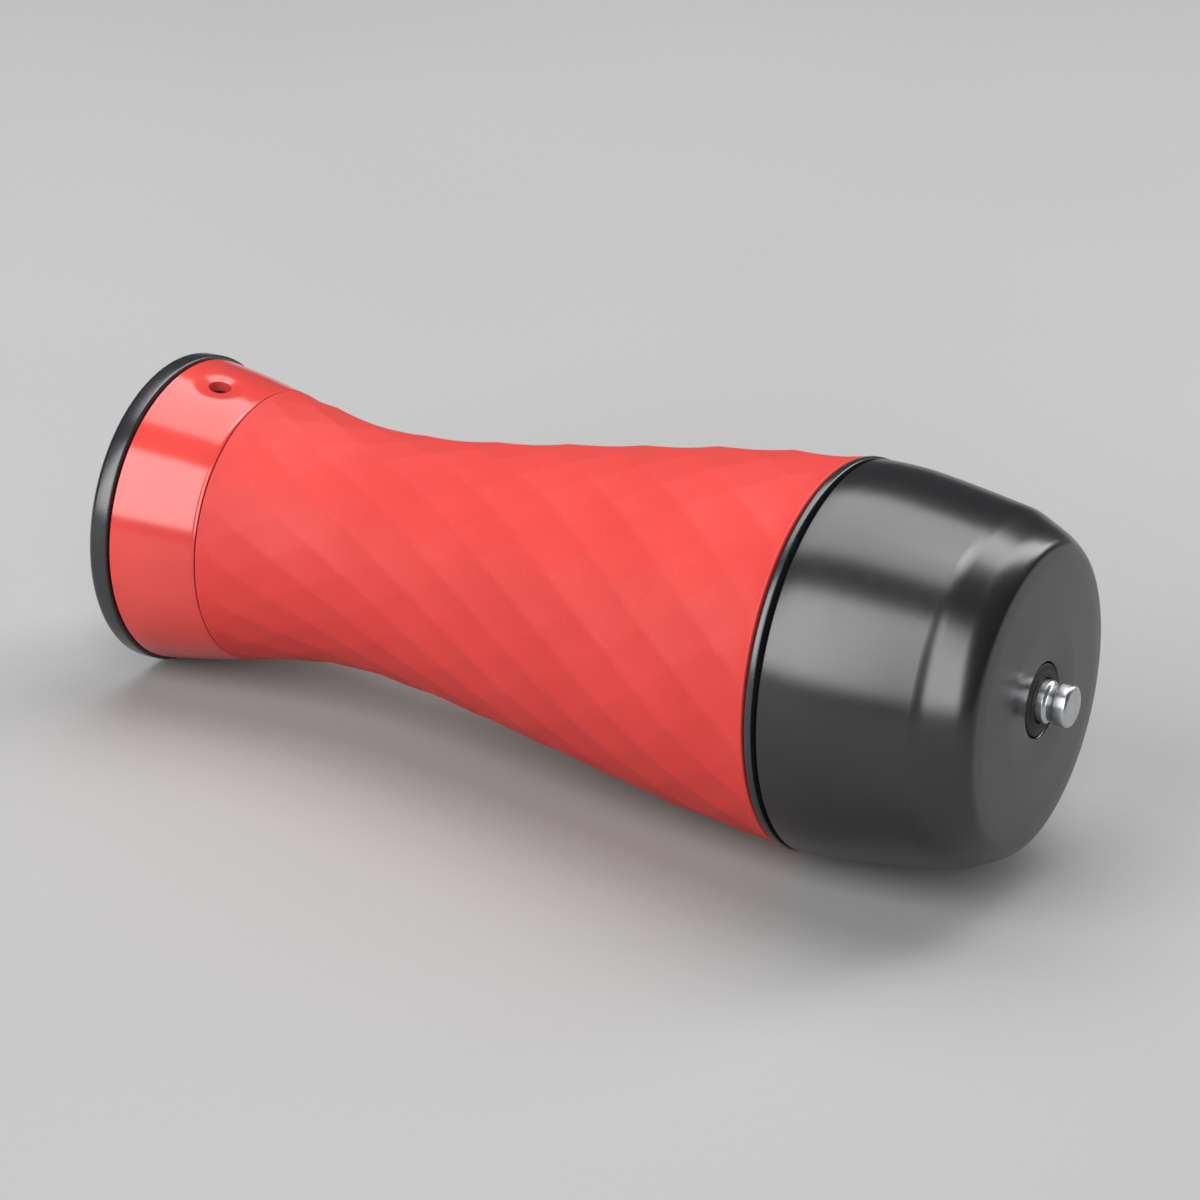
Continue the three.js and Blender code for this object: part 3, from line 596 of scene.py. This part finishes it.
def charging_jack():
    """A box behind the band with a round nose; the bore holds a metal pin."""
    place = jack_place()
    jack = block("charging_jack_fine", JACK_LOW, JACK_HIGH, 0.5, place)
    nose_loop = [
        (JACK_NOSE_START, 0), (JACK_NOSE_START, JACK_NOSE_R), (JACK_NOSE_TOP, JACK_NOSE_R, 0.5),
        (JACK_NOSE_TOP, 0),
    ]
    combine(jack, upright("nose", filleted(nose_loop), place), "UNION")
    floor, lead_in, mouth = JACK_NOSE_TOP - JACK_BORE_DEPTH, JACK_NOSE_TOP - 0.4, JACK_NOSE_TOP + 1
    bore_loop = [
        (floor, 0), (floor, JACK_BORE_R), (lead_in, JACK_BORE_R), (mouth, JACK_BORE_R + 1.3), (mouth, 0),
    ]
    combine(jack, upright("bore", bore_loop, place), "DIFFERENCE")
    soften(jack)
    finish_piece(jack, "charging_jack", "black_gloss")
    root, tip = floor - 0.5, JACK_NOSE_TOP - 0.8
    pin_loop = [(root, 0), (root, JACK_PIN_R), (tip, JACK_PIN_R, 0.6), (tip, 0)]
    finish_piece(upright("jack_pin_fine", filleted(pin_loop), place, 32), None, "steel")


charging_jack()

turned(
    "base_ring",
    [
        (BASE_END, BASE_RING_BORE, 0.4), (BASE_END, BASE_RING_R * ROUND, 1.4),
        (BAND_START - GAP, BASE_RING_R * ROUND, 0.5), (BAND_START - GAP, BASE_RING_BORE),
    ],
    "black_gloss", sides=200,
)

CAP_DISH = CAP_START + 0.9
turned(
    "base_cap",
    [
        (CAP_START, CAP_BORE, 0.35), (CAP_START, CAP_BORE + 2.2, 0.5), (CAP_DISH, CAP_BORE + 3.6, 2),
        (CAP_DISH, CAP_R - 4, 2), (CAP_START, CAP_R - 2.4, 0.5), (CAP_START, CAP_R, 0.35),
        (CAP_END, CAP_R), (CAP_END, CAP_BORE),
    ],
    "black_satin",
)


def battery_light_ring():
    """Frosted ring whose front is notched into four charge segments."""
    segments, notch_half, notch_depth, front_depth = 4, math.radians(2.6), 0.45, 0.6
    rim, back = CAP_START + 0.1, CAP_END - 0.5
    loop = filleted([
        (rim, LIGHT_BORE, 0.3), (CAP_START, (LIGHT_BORE + LIGHT_R) / 2, 0.8), (rim, LIGHT_R, 0.3),
        (back, LIGHT_R), (back, LIGHT_BORE),
    ])
    verts, faces = revolved(loop, 288)
    points = np.array(verts)
    turn = np.arctan2(points[:, 1], points[:, 2]) % (2 * math.pi / segments)
    near = np.abs(turn - math.pi / segments) < notch_half
    front = points[:, 0] < CAP_START + front_depth
    points[near & front, 0] += notch_depth
    obj = new_object("battery_light_ring_fine", points, faces)
    finish_piece(obj, "battery_light_ring", "pale_lens")


battery_light_ring()

BUTTON_BACK = CAP_END - 1
turned(
    "power_button",
    [
        (CAP_START + 0.75, 0), (CAP_START + 0.6, 4.5, 6), (CAP_START + 0.2, BUTTON_R - 0.9, 0.5),
        (CAP_START + 0.7, BUTTON_R, 0.4), (BUTTON_BACK, BUTTON_R), (BUTTON_BACK, BUTTON_SOCKET_R),
        (BUTTON_SOCKET_END, BUTTON_SOCKET_R), (BUTTON_SOCKET_END, 0),
    ],
    "black_gloss", "button", sides=128,
)


def power_icon():
    """The usual open ring and bar, raised a little from the button's dished face."""
    ring_r, width, bar_foot, start, end = 2.8, 0.55, 1.2, CAP_START + 0.62, CAP_START + 1.1
    steps, opening = 40, 35
    section = ((start, ring_r), (start, ring_r + width), (end, ring_r + width), (end, ring_r))
    verts, faces = [], []
    for t in np.linspace(math.radians(opening), math.radians(360 - opening), steps + 1):
        verts += [(x, -r * math.sin(t), r * math.cos(t)) for x, r in section]
    for i in range(steps):
        for k in range(4):
            n = (k + 1) % 4
            faces.append((4 * i + k, 4 * i + n, 4 * i + 4 + n, 4 * i + 4 + k))
    faces += [(0, 1, 2, 3), (4 * steps + 3, 4 * steps + 2, 4 * steps + 1, 4 * steps)]
    ring = new_object("power_icon_ring", verts, faces)
    low, high = (start, -width / 2, bar_foot), (end, width / 2, ring_r + width)
    for obj in (ring, block("power_icon_bar", low, high, 0.1)):
        finish_piece(obj, None, "pale_lens", "button")


power_icon()

turned(
    "seam_ring",
    [
        (SEAM_START, SPIGOT_CLEAR_R), (SEAM_START, SEAM_RING_R * ROUND, 0.45),
        (SEAM_END, SEAM_RING_R * ROUND, 0.45), (SEAM_END, SPIGOT_CLEAR_R),
    ],
    "black_gloss", sides=240,
)

# ---------------------------------------------------------------- head


def head_shell():
    """A tapering cup with a shoulder, a conical band, a rounded ridge and a nearly flat face."""
    crease = HEAD_OUTLINE[4]
    beyond_crease = (48.4, 36.1)
    side = spline([*HEAD_OUTLINE[1:5], beyond_crease], 0.5)
    corners = [(HEAD_OUTLINE[0][0], HEAD_OUTLINE[0][1], 0.4)]
    corners += [point for point in side if point[0] < crease[0] - 1.5]
    corners += [(*point, fillet) for point, fillet in zip(HEAD_OUTLINE[4:], HEAD_FILLETS)]
    corners += [(HEAD_FACE, NOSE_BORE, 0.5), (HEAD_FACE - HEAD_WALL, NOSE_BORE)]
    outside = [(x, r * ROUND) for x, r in filleted(corners, 8)]
    inner = [(x, r - HEAD_WALL) for x, r in reversed(HEAD_OUTLINE[:6])]
    verts, faces = revolved([*outside, (HEAD_FACE - HEAD_WALL, HEAD_POCKET_R), *inner], 320)
    finish_piece(new_object("head_shell_fine", verts, faces, sharp=45), "head_shell", "black_satin")


def boss_place(number):
    """The axis of one of the screws that hold the mechanism in the head."""
    turn = Matrix.Rotation(2 * math.pi * number / SCREWS, 4, "X")
    return TOOL @ turn @ Matrix.Translation((0, 0, BOSS_CIRCLE_R * MM))


def head_boss(number):
    """A hollow post behind the head's face that takes one screw."""
    end = HEAD_FACE - HEAD_WALL + 0.4
    loop = filleted([
        (BOSS_START, BOSS_HOLE_R, 0.3), (BOSS_START, BOSS_R, 0.4), (end, BOSS_R), (end, BOSS_HOLE_R),
    ])
    name = f"head_boss_{number + 1}"
    finish_piece(new_object(name, *revolved(loop, 48), SHARP, boss_place(number)), None, "black_satin")


head_shell()
for number in range(SCREWS):
    head_boss(number)

WIPER_FRONT, WIPER_LIP = HEAD_FACE + 0.1, HEAD_FACE + 0.4
turned(
    "stem_wiper",
    [
        (WIPER_BACK, STEM_R + GAP), (WIPER_BACK, WIPER_R), (WIPER_FRONT, WIPER_R, 0.5),
        (WIPER_FRONT, WIPER_RIM_R, 0.3), (WIPER_LIP, WIPER_LIP_R, 0.3), (WIPER_LIP, STEM_R + GAP, 0.2),
    ],
    "black_rubber", sides=96,
)

GROOVE = [(-1.2, STEM_R, 0.2), (-0.6, STEM_R - GROOVE_DEPTH, 0.4)]
turned(
    "plunger",
    [
        (PISTON_START, PISTON_BORE_R), (PISTON_START, PISTON_R, 0.6), (PISTON_END, PISTON_R, 0.8),
        (PISTON_END, STEM_R, 1.5), *((GROOVE_X + x, *rest) for x, *rest in mirrored(GROOVE)),
        (STEM_END, STEM_R, 1.0), (STEM_END, 0), (PISTON_BORE_END, 0), (PISTON_BORE_END, PISTON_BORE_R),
    ],
    "steel", "plunger", sides=128,
)

# ---------------------------------------------------------------- battery, motor and crank


def lying(x, y=0.0, z=0.0):
    """A place in the tool's frame for pieces turned about a line along its axis."""
    return TOOL @ Matrix.Translation((x * MM, y * MM, z * MM))


def standing(x):
    """The same for pieces turned about the crank's line or one beside it."""
    return lying(x) @ ALONG_Z


def round_piece(name, corners, slot, body, place, sides=72):
    """A turned piece of the works, with coarser fillets."""
    turned(name, corners, slot, body, sides, place, steps=3)


def battery_cell(number):
    """A wrapped cell: the wrap folds over both ends, and one end has the raised terminal."""
    angle = math.pi / 2 + number * 2 * math.pi / CELLS
    place = lying(CELL_START, CELL_CIRCLE_R * math.cos(angle), CELL_CIRCLE_R * math.sin(angle))
    lip, inset, terminal_r = CELL_R - 1.3, 0.5, 3
    end, terminal = CELL_LENGTH - inset, CELL_LENGTH - 0.1
    corners = [
        (inset, 0), (inset, lip, 0.2), (0, lip - 0.2, 0.15), (0, CELL_R, 0.7), (CELL_LENGTH, CELL_R, 0.7),
        (CELL_LENGTH, lip - 0.2, 0.15), (end, lip, 0.2), (end, terminal_r + 0.4, 0.2),
        (terminal, terminal_r, 0.2), (terminal, 0),
    ]
    round_piece(f"battery_cell_{number + 1}", corners, "cell_wrap", "housing", place)


def motor_bearing(name, start):
    """Two races with a sunken shield between them."""
    inner, outer, race, slope, sunk = SHAFT_R + GAP, MOTOR_BEARING_R, 0.7, 0.1, start + 0.25
    side = [
        (start, inner, 0.15), (start, inner + race, 0.1), (sunk, inner + race + slope),
        (sunk, outer - race - slope), (start, outer - race, 0.1), (start, outer, 0.2),
    ]
    corners = mirrored(side, start + MOTOR_BEARING_T / 2)
    round_piece(name, corners, "steel", "housing", standing(CRANK_X))


for number in range(CELLS):
    battery_cell(number)
motor_bearing("motor_bearing_upper", PLATE_BOTTOM - 4)
motor_bearing("motor_bearing_lower", CORE_BOTTOM + 0.4)

round_piece(
    "rotor_bell",
    [
        (BELL_BOTTOM, SHAFT_R + GAP, 0.2), (BELL_BOTTOM, BELL_R, 1.2), (BELL_TOP, BELL_R, 0.3),
        (BELL_TOP, BELL_R - BELL_WALL, 0.3), (BELL_BOTTOM + BELL_WALL, BELL_R - BELL_WALL, 0.8),
        (BELL_BOTTOM + BELL_WALL, SHAFT_R + GAP, 0.2),
    ],
    "steel", "rotor", standing(CRANK_X), 120,
)

SHAFT_START, SHAFT_END = BELL_BOTTOM + 0.4, DISC_TOP - 1
round_piece(
    "motor_shaft",
    [
        (SHAFT_START, 0), (SHAFT_START, SHAFT_R, 0.4), (SHAFT_END, SHAFT_R, 0.4), (SHAFT_END, 0.9, 0.2),
        (SHAFT_END - 0.9, 0),
    ],
    "steel", "rotor", standing(CRANK_X), 48,
)

PIN_START, PIN_END = DISC_BOTTOM + 0.5, ROD_HALF_T + 0.7
round_piece(
    "crank_pin",
    [(PIN_START, 0), (PIN_START, CRANK_PIN_R, 0.3), (PIN_END, CRANK_PIN_R, 0.4), (PIN_END, 0)],
    "steel", "rotor", standing(CRANK_X - CRANK_THROW), 48,
)

ROD_BEARING_SIDE = [
    (-ROD_BEARING_HALF, CRANK_PIN_R + GAP, 0.2), (-ROD_BEARING_HALF, 4.3, 0.15), (-2, 4.5), (-2, 5.4),
    (-ROD_BEARING_HALF, 5.6, 0.15), (-ROD_BEARING_HALF, ROD_BEARING_R, 0.3),
]
round_piece("rod_bearing", mirrored(ROD_BEARING_SIDE), "steel", "rod", standing(CRANK_X - CRANK_THROW))
round_piece(
    "wrist_pin", mirrored([(-WRIST_PIN_HALF, 0), (-WRIST_PIN_HALF, WRIST_PIN_R, 0.3)]),
    "steel", "rod", standing(CRANK_X - CRANK_THROW + ROD_LENGTH), 32,
)
round_piece(
    "guide_liner",
    [
        (LINER_START, PISTON_R + GAP, 0.3), (LINER_START, LINER_R, 0.3), (LINER_END, LINER_R, 0.3),
        (LINER_END, PISTON_R + GAP, 0.3),
    ],
    "bronze", "housing", TOOL, 120,
)


def damper(number, x, side, reach):
    """A rubber bush with a waist, lying across the tool."""
    length = reach - DAMPER_START
    rear, waist, front = length * 0.35, length * 0.5, length * 0.65
    corners = [
        (0, 0), (0, DAMPER_R, 0.5), (rear, DAMPER_R, 0.6), (waist, DAMPER_WAIST_R, 1.2),
        (front, DAMPER_R, 0.6), (length, DAMPER_R, 0.5), (length, 0),
    ]
    place = lying(x, side * DAMPER_START) @ Matrix.Rotation(side * math.pi / 2, 4, "Z")
    round_piece(f"damper_{number}", corners, "black_rubber", "housing", place, 48)


DAMPER_SEATS = [(-22, 1, 33), (-22, -1, 33), (1, 1, 35.2), (1, -1, 35.2)]
for number, seat in enumerate(DAMPER_SEATS, 1):
    damper(number, *seat)


def frame_screw(number):
    """A pan-head screw with a cross recess, from the flange into one of the head's bosses."""
    place = boss_place(number)
    under = BOSS_START - 2.8
    head, tip = under - SCREW_HEAD_T, BOSS_START + SCREW_REACH
    corners = [(head, 0), (head, SCREW_HEAD_R, 0.9), (under, SCREW_HEAD_R, 0.2), (under, SCREW_R, 0.2)]
    x, pitch, thread_depth = under + 1.4, 0.6, 0.25
    while x < tip - 0.7:
        corners += [(x, SCREW_R), (x + pitch / 2, SCREW_R - thread_depth)]
        x += pitch
    corners += [(tip, SCREW_R - 0.4), (tip, 0)]
    name = f"frame_screw_{number + 1}"
    screw = new_object(name + "_fine", *revolved(filleted(corners, 3), 48), SHARP, place)
    for turn in (0, math.pi / 2):
        across = place @ Matrix.Rotation(turn, 4, "X")
        slot = block("slot", (head - 1, -1.7, -0.35), (head + 1, 1.7, 0.35), 0.05, across)
        combine(screw, slot, "DIFFERENCE")
    soften(screw)
    finish_piece(screw, name, "steel")


for number in range(SCREWS):
    frame_screw(number)

# ---------------------------------------------------------------- control board

BOARD_TOP = BOARD_Z + BOARD_T


def chip(name, x0, x1, y0, y1, height):
    """A chip's black package."""
    body = block(name, (x0, y0, BOARD_TOP), (x1, y1, BOARD_TOP + height), 0.12)
    finish_piece(body, None, "black_satin")


def connector(name, x0, x1, y0, y1, height):
    """An open-topped socket."""
    wall, floor, above = 0.8, BOARD_TOP + 1, BOARD_TOP + 9
    shell = block(name, (x0, y0, BOARD_TOP), (x1, y1, BOARD_TOP + height), 0.25)
    mouth = block("mouth", (x0 + wall, y0 + wall, floor), (x1 - wall, y1 - wall, above), 0.1)
    combine(shell, mouth, "DIFFERENCE")
    soften(shell)
    finish_piece(shell, None, "grey_nylon")


def capacitor(number, x, y):
    """A can with a crimp near its foot and its sleeve folded over the top."""
    can_r, crimp_r, top = 4, 3.7, BOARD_TOP + 9.5
    corners = [
        (BOARD_TOP, 0), (BOARD_TOP, crimp_r, 0.2), (BOARD_TOP + 1, can_r, 0.3),
        (BOARD_TOP + 1.4, crimp_r, 0.2), (BOARD_TOP + 1.8, can_r, 0.3), (top + 0.2, can_r, 0.5),
        (top, can_r - 0.9, 0.1), (top, 0),
    ]
    name = f"board_capacitor_{number}"
    can = new_object(name, *revolved(filleted(corners, 3), 64), SHARP, lying(x, y) @ ALONG_Z)
    finish_piece(can, None, "cell_wrap")


def board_pieces():
    """The board, and what stands on it as separate pieces of their own colours."""
    board = block(
        "control_board_fine", (BOARD_X0, -BOARD_HALF_WIDTH, BOARD_Z), (BOARD_X1, BOARD_HALF_WIDTH, BOARD_TOP),
        0.15,
    )
    finish_piece(board, "control_board", "board_green")
    chip("board_controller", -52, -44, -4, 4, 1.2)
    for number, y in enumerate((-16, -10, 6), 1):
        chip(f"board_driver_{number}", -42, -37, y, y + 5, 1.4)
    connector("board_connector", BOARD_X1 - 6, BOARD_X1 - 1, -6, 6, 4.7)
    connector("board_inlet", BOARD_X0 + 1, BOARD_X0 + 6, 9, 18, 4.2)
    for number, y in enumerate((-13, -3.5), 1):
        capacitor(number, -57, y)


board_pieces()

# ---------------------------------------------------------------- windings


def motor_windings():
    """One coil of turns side by side on each of the stator's teeth."""
    teeth, turns, wire_r, pitch, first_r = 9, 7, 0.29, 0.6, 8.1
    half_width, half_height, corner, corner_steps = 2.15, 5.66, 0.9, 4
    middle = (CORE_BOTTOM + CORE_TOP) / 2
    loop = []
    for sign_t, sign_z, start in ((1, 1, 0), (-1, 1, 90), (-1, -1, 180), (1, -1, 270)):
        for step in range(corner_steps + 1):
            a = math.radians(start + 90 / corner_steps * step)
            across = sign_t * (half_width - corner) + corner * math.cos(a)
            up = sign_z * (half_height - corner) + corner * math.sin(a)
            loop.append((across, up))
    count, sides = len(loop) * turns, 6
    verts, faces = [], []
    for tooth in range(teeth):
        spin = 2 * math.pi * tooth / teeth
        out = Vector((math.cos(spin), math.sin(spin), 0))
        along = Vector((-math.sin(spin), math.cos(spin), 0))
        base = len(verts)
        for i in range(count):
            across, up = loop[i % len(loop)]
            before, after = loop[(i - 1) % len(loop)], loop[(i + 1) % len(loop)]
            reach = first_r + pitch * i / len(loop)
            centre = out * reach + along * across + Vector((0, 0, middle + up))
            run = along * (after[0] - before[0]) + Vector((0, 0, after[1] - before[1]))
            side = run.normalized().cross(out)
            for k in range(sides):
                a = 2 * math.pi * k / sides
                verts.append(centre + (out * math.cos(a) + side * math.sin(a)) * wire_r)
        for i in range(count - 1):
            for k in range(sides):
                n = (k + 1) % sides
                low = base + i * sides
                faces.append((low + k, low + n, low + sides + n, low + sides + k))
        faces.append(tuple(base + k for k in range(sides)))
        faces.append(tuple(base + (count - 1) * sides + k for k in reversed(range(sides))))
    obj = new_object("motor_windings_fine", verts, faces, 60, lying(CRANK_X))
    finish_piece(obj, "motor_windings", "copper")


motor_windings()

# ---------------------------------------------------------------- leads


def lead(name, route, radius, slot):
    """A round insulated wire along a smooth path through the route's points."""
    steps, sides = 10, 16
    route = [Vector(point) for point in route]
    path = []
    for i in range(len(route) - 1):
        p0, p1, p2, p3 = (route[min(max(i + k, 0), len(route) - 1)] for k in (-1, 0, 1, 2))
        for step in range(steps):
            t = step / steps
            bend = (2 * p0 - 5 * p1 + 4 * p2 - p3) * t**2 + (3 * p1 - p0 - 3 * p2 + p3) * t**3
            path.append(p1 + ((p2 - p0) * t + bend) / 2)
    path.append(route[-1])
    across = Vector((0, 1, 0))
    verts, faces = [], []
    for i, point in enumerate(path):
        run = (path[min(i + 1, len(path) - 1)] - path[max(i - 1, 0)]).normalized()
        across = (across - run * across.dot(run)).normalized()
        other = run.cross(across)
        for k in range(sides):
            a = 2 * math.pi * k / sides
            verts.append(point + (across * math.cos(a) + other * math.sin(a)) * radius)
    for i in range(len(path) - 1):
        for k in range(sides):
            n = (k + 1) % sides
            low = i * sides
            faces.append((low + k, low + n, low + sides + n, low + sides + k))
    faces += [tuple(range(sides)), tuple(reversed(range(len(verts) - sides, len(verts))))]
    finish_piece(new_object(name + "_fine", verts, faces, 50), name, slot)


lead(
    "charge_lead",
    [(x, CHARGE_LEAD_Y, CHARGE_LEAD_Z) for x in (-154.3, -120, -80, -64.5)],
    CHARGE_LEAD_R, "wire_red",
)

# Out between the bell and the plate, up behind the motor and onto the board.
LEAD_OUT = BELL_TOP + 1.1
MOTOR_LEAD_ROUTE = [
    (-8.6, LEAD_OUT), (-14, LEAD_OUT), (-18.6, LEAD_OUT), (-20.6, LEAD_OUT + 2.5), (-20.7, -4),
    (-21, BOARD_Z - 0.5), (-22.8, BOARD_Z + 0.8),
]
MOTOR_LEAD_SPACING = 3
for number, slot in enumerate(("wire_red", "wire_yellow", "wire_black")):
    y = (number - 1) * MOTOR_LEAD_SPACING
    route = [(CRANK_X + x, y, z) for x, z in MOTOR_LEAD_ROUTE]
    lead(f"motor_lead_{number + 1}", route, MOTOR_LEAD_R, slot)

# ---------------------------------------------------------------- the remaining nodes, with eased edges

EDGE_WIDTHS = {
    "housing": {
        "inner_shell_left": 0.35, "inner_shell_right": 0.35, "base_board": 0.12, "power_switch": 0.25,
        "cell_holder_rear": 0.3, "cell_holder_front": 0.3, "board_tray": 0.3, "mechanism_frame": 0.35,
        "motor_stator": 0.12,
    },
    "rotor": {"rotor_magnets": 0.12, "crank_disc": 0.3},
    "rod": {"connecting_rod": 0.35},
}
slots = {part["node"]: part["material_slot"] for part in frame["record"]["subparts"]}


def eased(node, body, width):
    """The node's shape as a piece of its own, welded, with every sharp edge rounded over."""
    weld, flat, crisp, sharp = 0.002, math.radians(1), math.radians(35), 40
    source = frame["nodes"][node]
    mesh = source.data.copy()
    mesh.transform(source.matrix_world)
    made = bmesh.new()
    made.from_mesh(mesh)
    bmesh.ops.remove_doubles(made, verts=made.verts[:], dist=weld * MM)
    bmesh.ops.dissolve_limit(made, angle_limit=flat, verts=made.verts[:], edges=made.edges[:])
    edges = [e for e in made.edges if len(e.link_faces) == 2 and e.calc_face_angle() > crisp]
    bmesh.ops.bevel(
        made, geom=edges, offset=width * MM, segments=2, affect="EDGES", profile=0.5, clamp_overlap=True,
    )
    made.to_mesh(mesh)
    made.free()
    obj = bpy.data.objects.new(node + "_fine", mesh)
    bpy.context.scene.collection.objects.link(obj)
    soften(obj, sharp)
    finish_piece(obj, node, slots[node], body)


for body, widths in EDGE_WIDTHS.items():
    for node, width in widths.items():
        eased(node, body, width)

# ---------------------------------------------------------------- floor, light and camera


def studio_floor():
    """A plain pale floor that can be seen through from below."""
    half, dark, pale = 3.0, (0.31, 0.31, 0.31), (0.335, 0.335, 0.335)
    corners = [(-half, -half, 0), (half, -half, 0), (half, half, 0), (-half, half, 0)]
    mesh = bpy.data.meshes.new("floor")
    mesh.from_pydata(corners, [], [(0, 1, 2, 3)])
    floor = bpy.data.objects.new("floor", mesh)
    bpy.context.scene.collection.objects.link(floor)
    n = Nodes("floor_look")
    tone = n.mix(n.span(n.noise(400, 2), 0.3, 0.7, 0, 1), dark, pale)
    n.done(tone, n.span(n.noise(3), 0.3, 0.7, 0.75, 0.85), n.bump(n.noise(0.8), 0.03, 0.05))
    see_through = n.add("ShaderNodeMixShader")
    n.link(n.add("ShaderNodeNewGeometry").outputs["Backfacing"], see_through.inputs[0])
    n.link(n.shader.outputs[0], see_through.inputs[1])
    n.link(n.add("ShaderNodeBsdfTransparent").outputs[0], see_through.inputs[2])
    n.link(see_through.outputs[0], n.tree.nodes["Material Output"].inputs["Surface"])
    mesh.materials.append(n.material)


def direction(azimuth, elevation):
    """The way towards a viewer at these angles, in degrees."""
    a, e = math.radians(azimuth), math.radians(elevation)
    return Vector((math.sin(a) * math.cos(e), -math.cos(a) * math.cos(e), math.sin(e)))


def softbox(name, middle, width, height, faces, radiance):
    """A rectangular light of even brightness; middle is metres from the aim, and it faces a direction."""
    data = bpy.data.lights.new(name, "AREA")
    data.shape, data.size, data.size_y = "RECTANGLE", width, height
    data.energy = radiance * math.pi * width * height
    lamp = bpy.data.objects.new(name, data)
    bpy.context.scene.collection.objects.link(lamp)
    lamp.location = TARGET + Vector(middle)
    lamp.rotation_mode = "QUATERNION"
    lamp.rotation_quaternion = (-Vector(faces)).to_track_quat("Z", "Y")
    lamp.visible_camera = False


TARGET = origin - axis_x * (origin.x / axis_x.x)
studio_floor()
softbox("softbox_top", (-0.36, 0.36, 1.2), 0.96, 1.2, (0, 0, -1), 3.6)
softbox("softbox_left", (-0.6, -1.2, 0.98), 1.24, 1.66, (0, 1, 0), 5.2)
softbox("softbox_right", (0.8, -1.2, 1.12), 0.66, 2.0, (0, 1, 0), 5.4)
BEHIND = direction(152, 50)
softbox("softbox_back", BEHIND * 1.4, 0.45, 2.1, -BEHIND, 5.4)

AMBIENT_TINT, AMBIENT_STRENGTH = (0.9, 0.93, 1.0, 1), 0.09
world = bpy.data.worlds.new("studio")
world.use_nodes = True
background = world.node_tree.nodes["Background"]
background.inputs["Color"].default_value = AMBIENT_TINT
background.inputs["Strength"].default_value = AMBIENT_STRENGTH
bpy.context.scene.world = world

CAMERA_AZIMUTH, CAMERA_ELEVATION, CAMERA_DISTANCE, CAMERA_ROLL = 28.0, 23.6, 0.969, 3.3
CAMERA_LENS, CAMERA_SENSOR = 136, 36
camera_data = bpy.data.cameras.new("camera")
camera_data.lens, camera_data.sensor_width = CAMERA_LENS, CAMERA_SENSOR
camera_data.clip_start, camera_data.clip_end = 0.05, 20
camera = bpy.data.objects.new("camera", camera_data)
bpy.context.scene.collection.objects.link(camera)
back = direction(CAMERA_AZIMUTH, CAMERA_ELEVATION)
camera.location = TARGET + back * CAMERA_DISTANCE
camera.rotation_mode = "QUATERNION"
roll = Matrix.Rotation(math.radians(CAMERA_ROLL), 4, "Z").to_quaternion()
camera.rotation_quaternion = back.to_track_quat("Z", "Y") @ roll
bpy.context.scene.camera = camera
bpy.context.scene.view_settings.view_transform = "Standard"
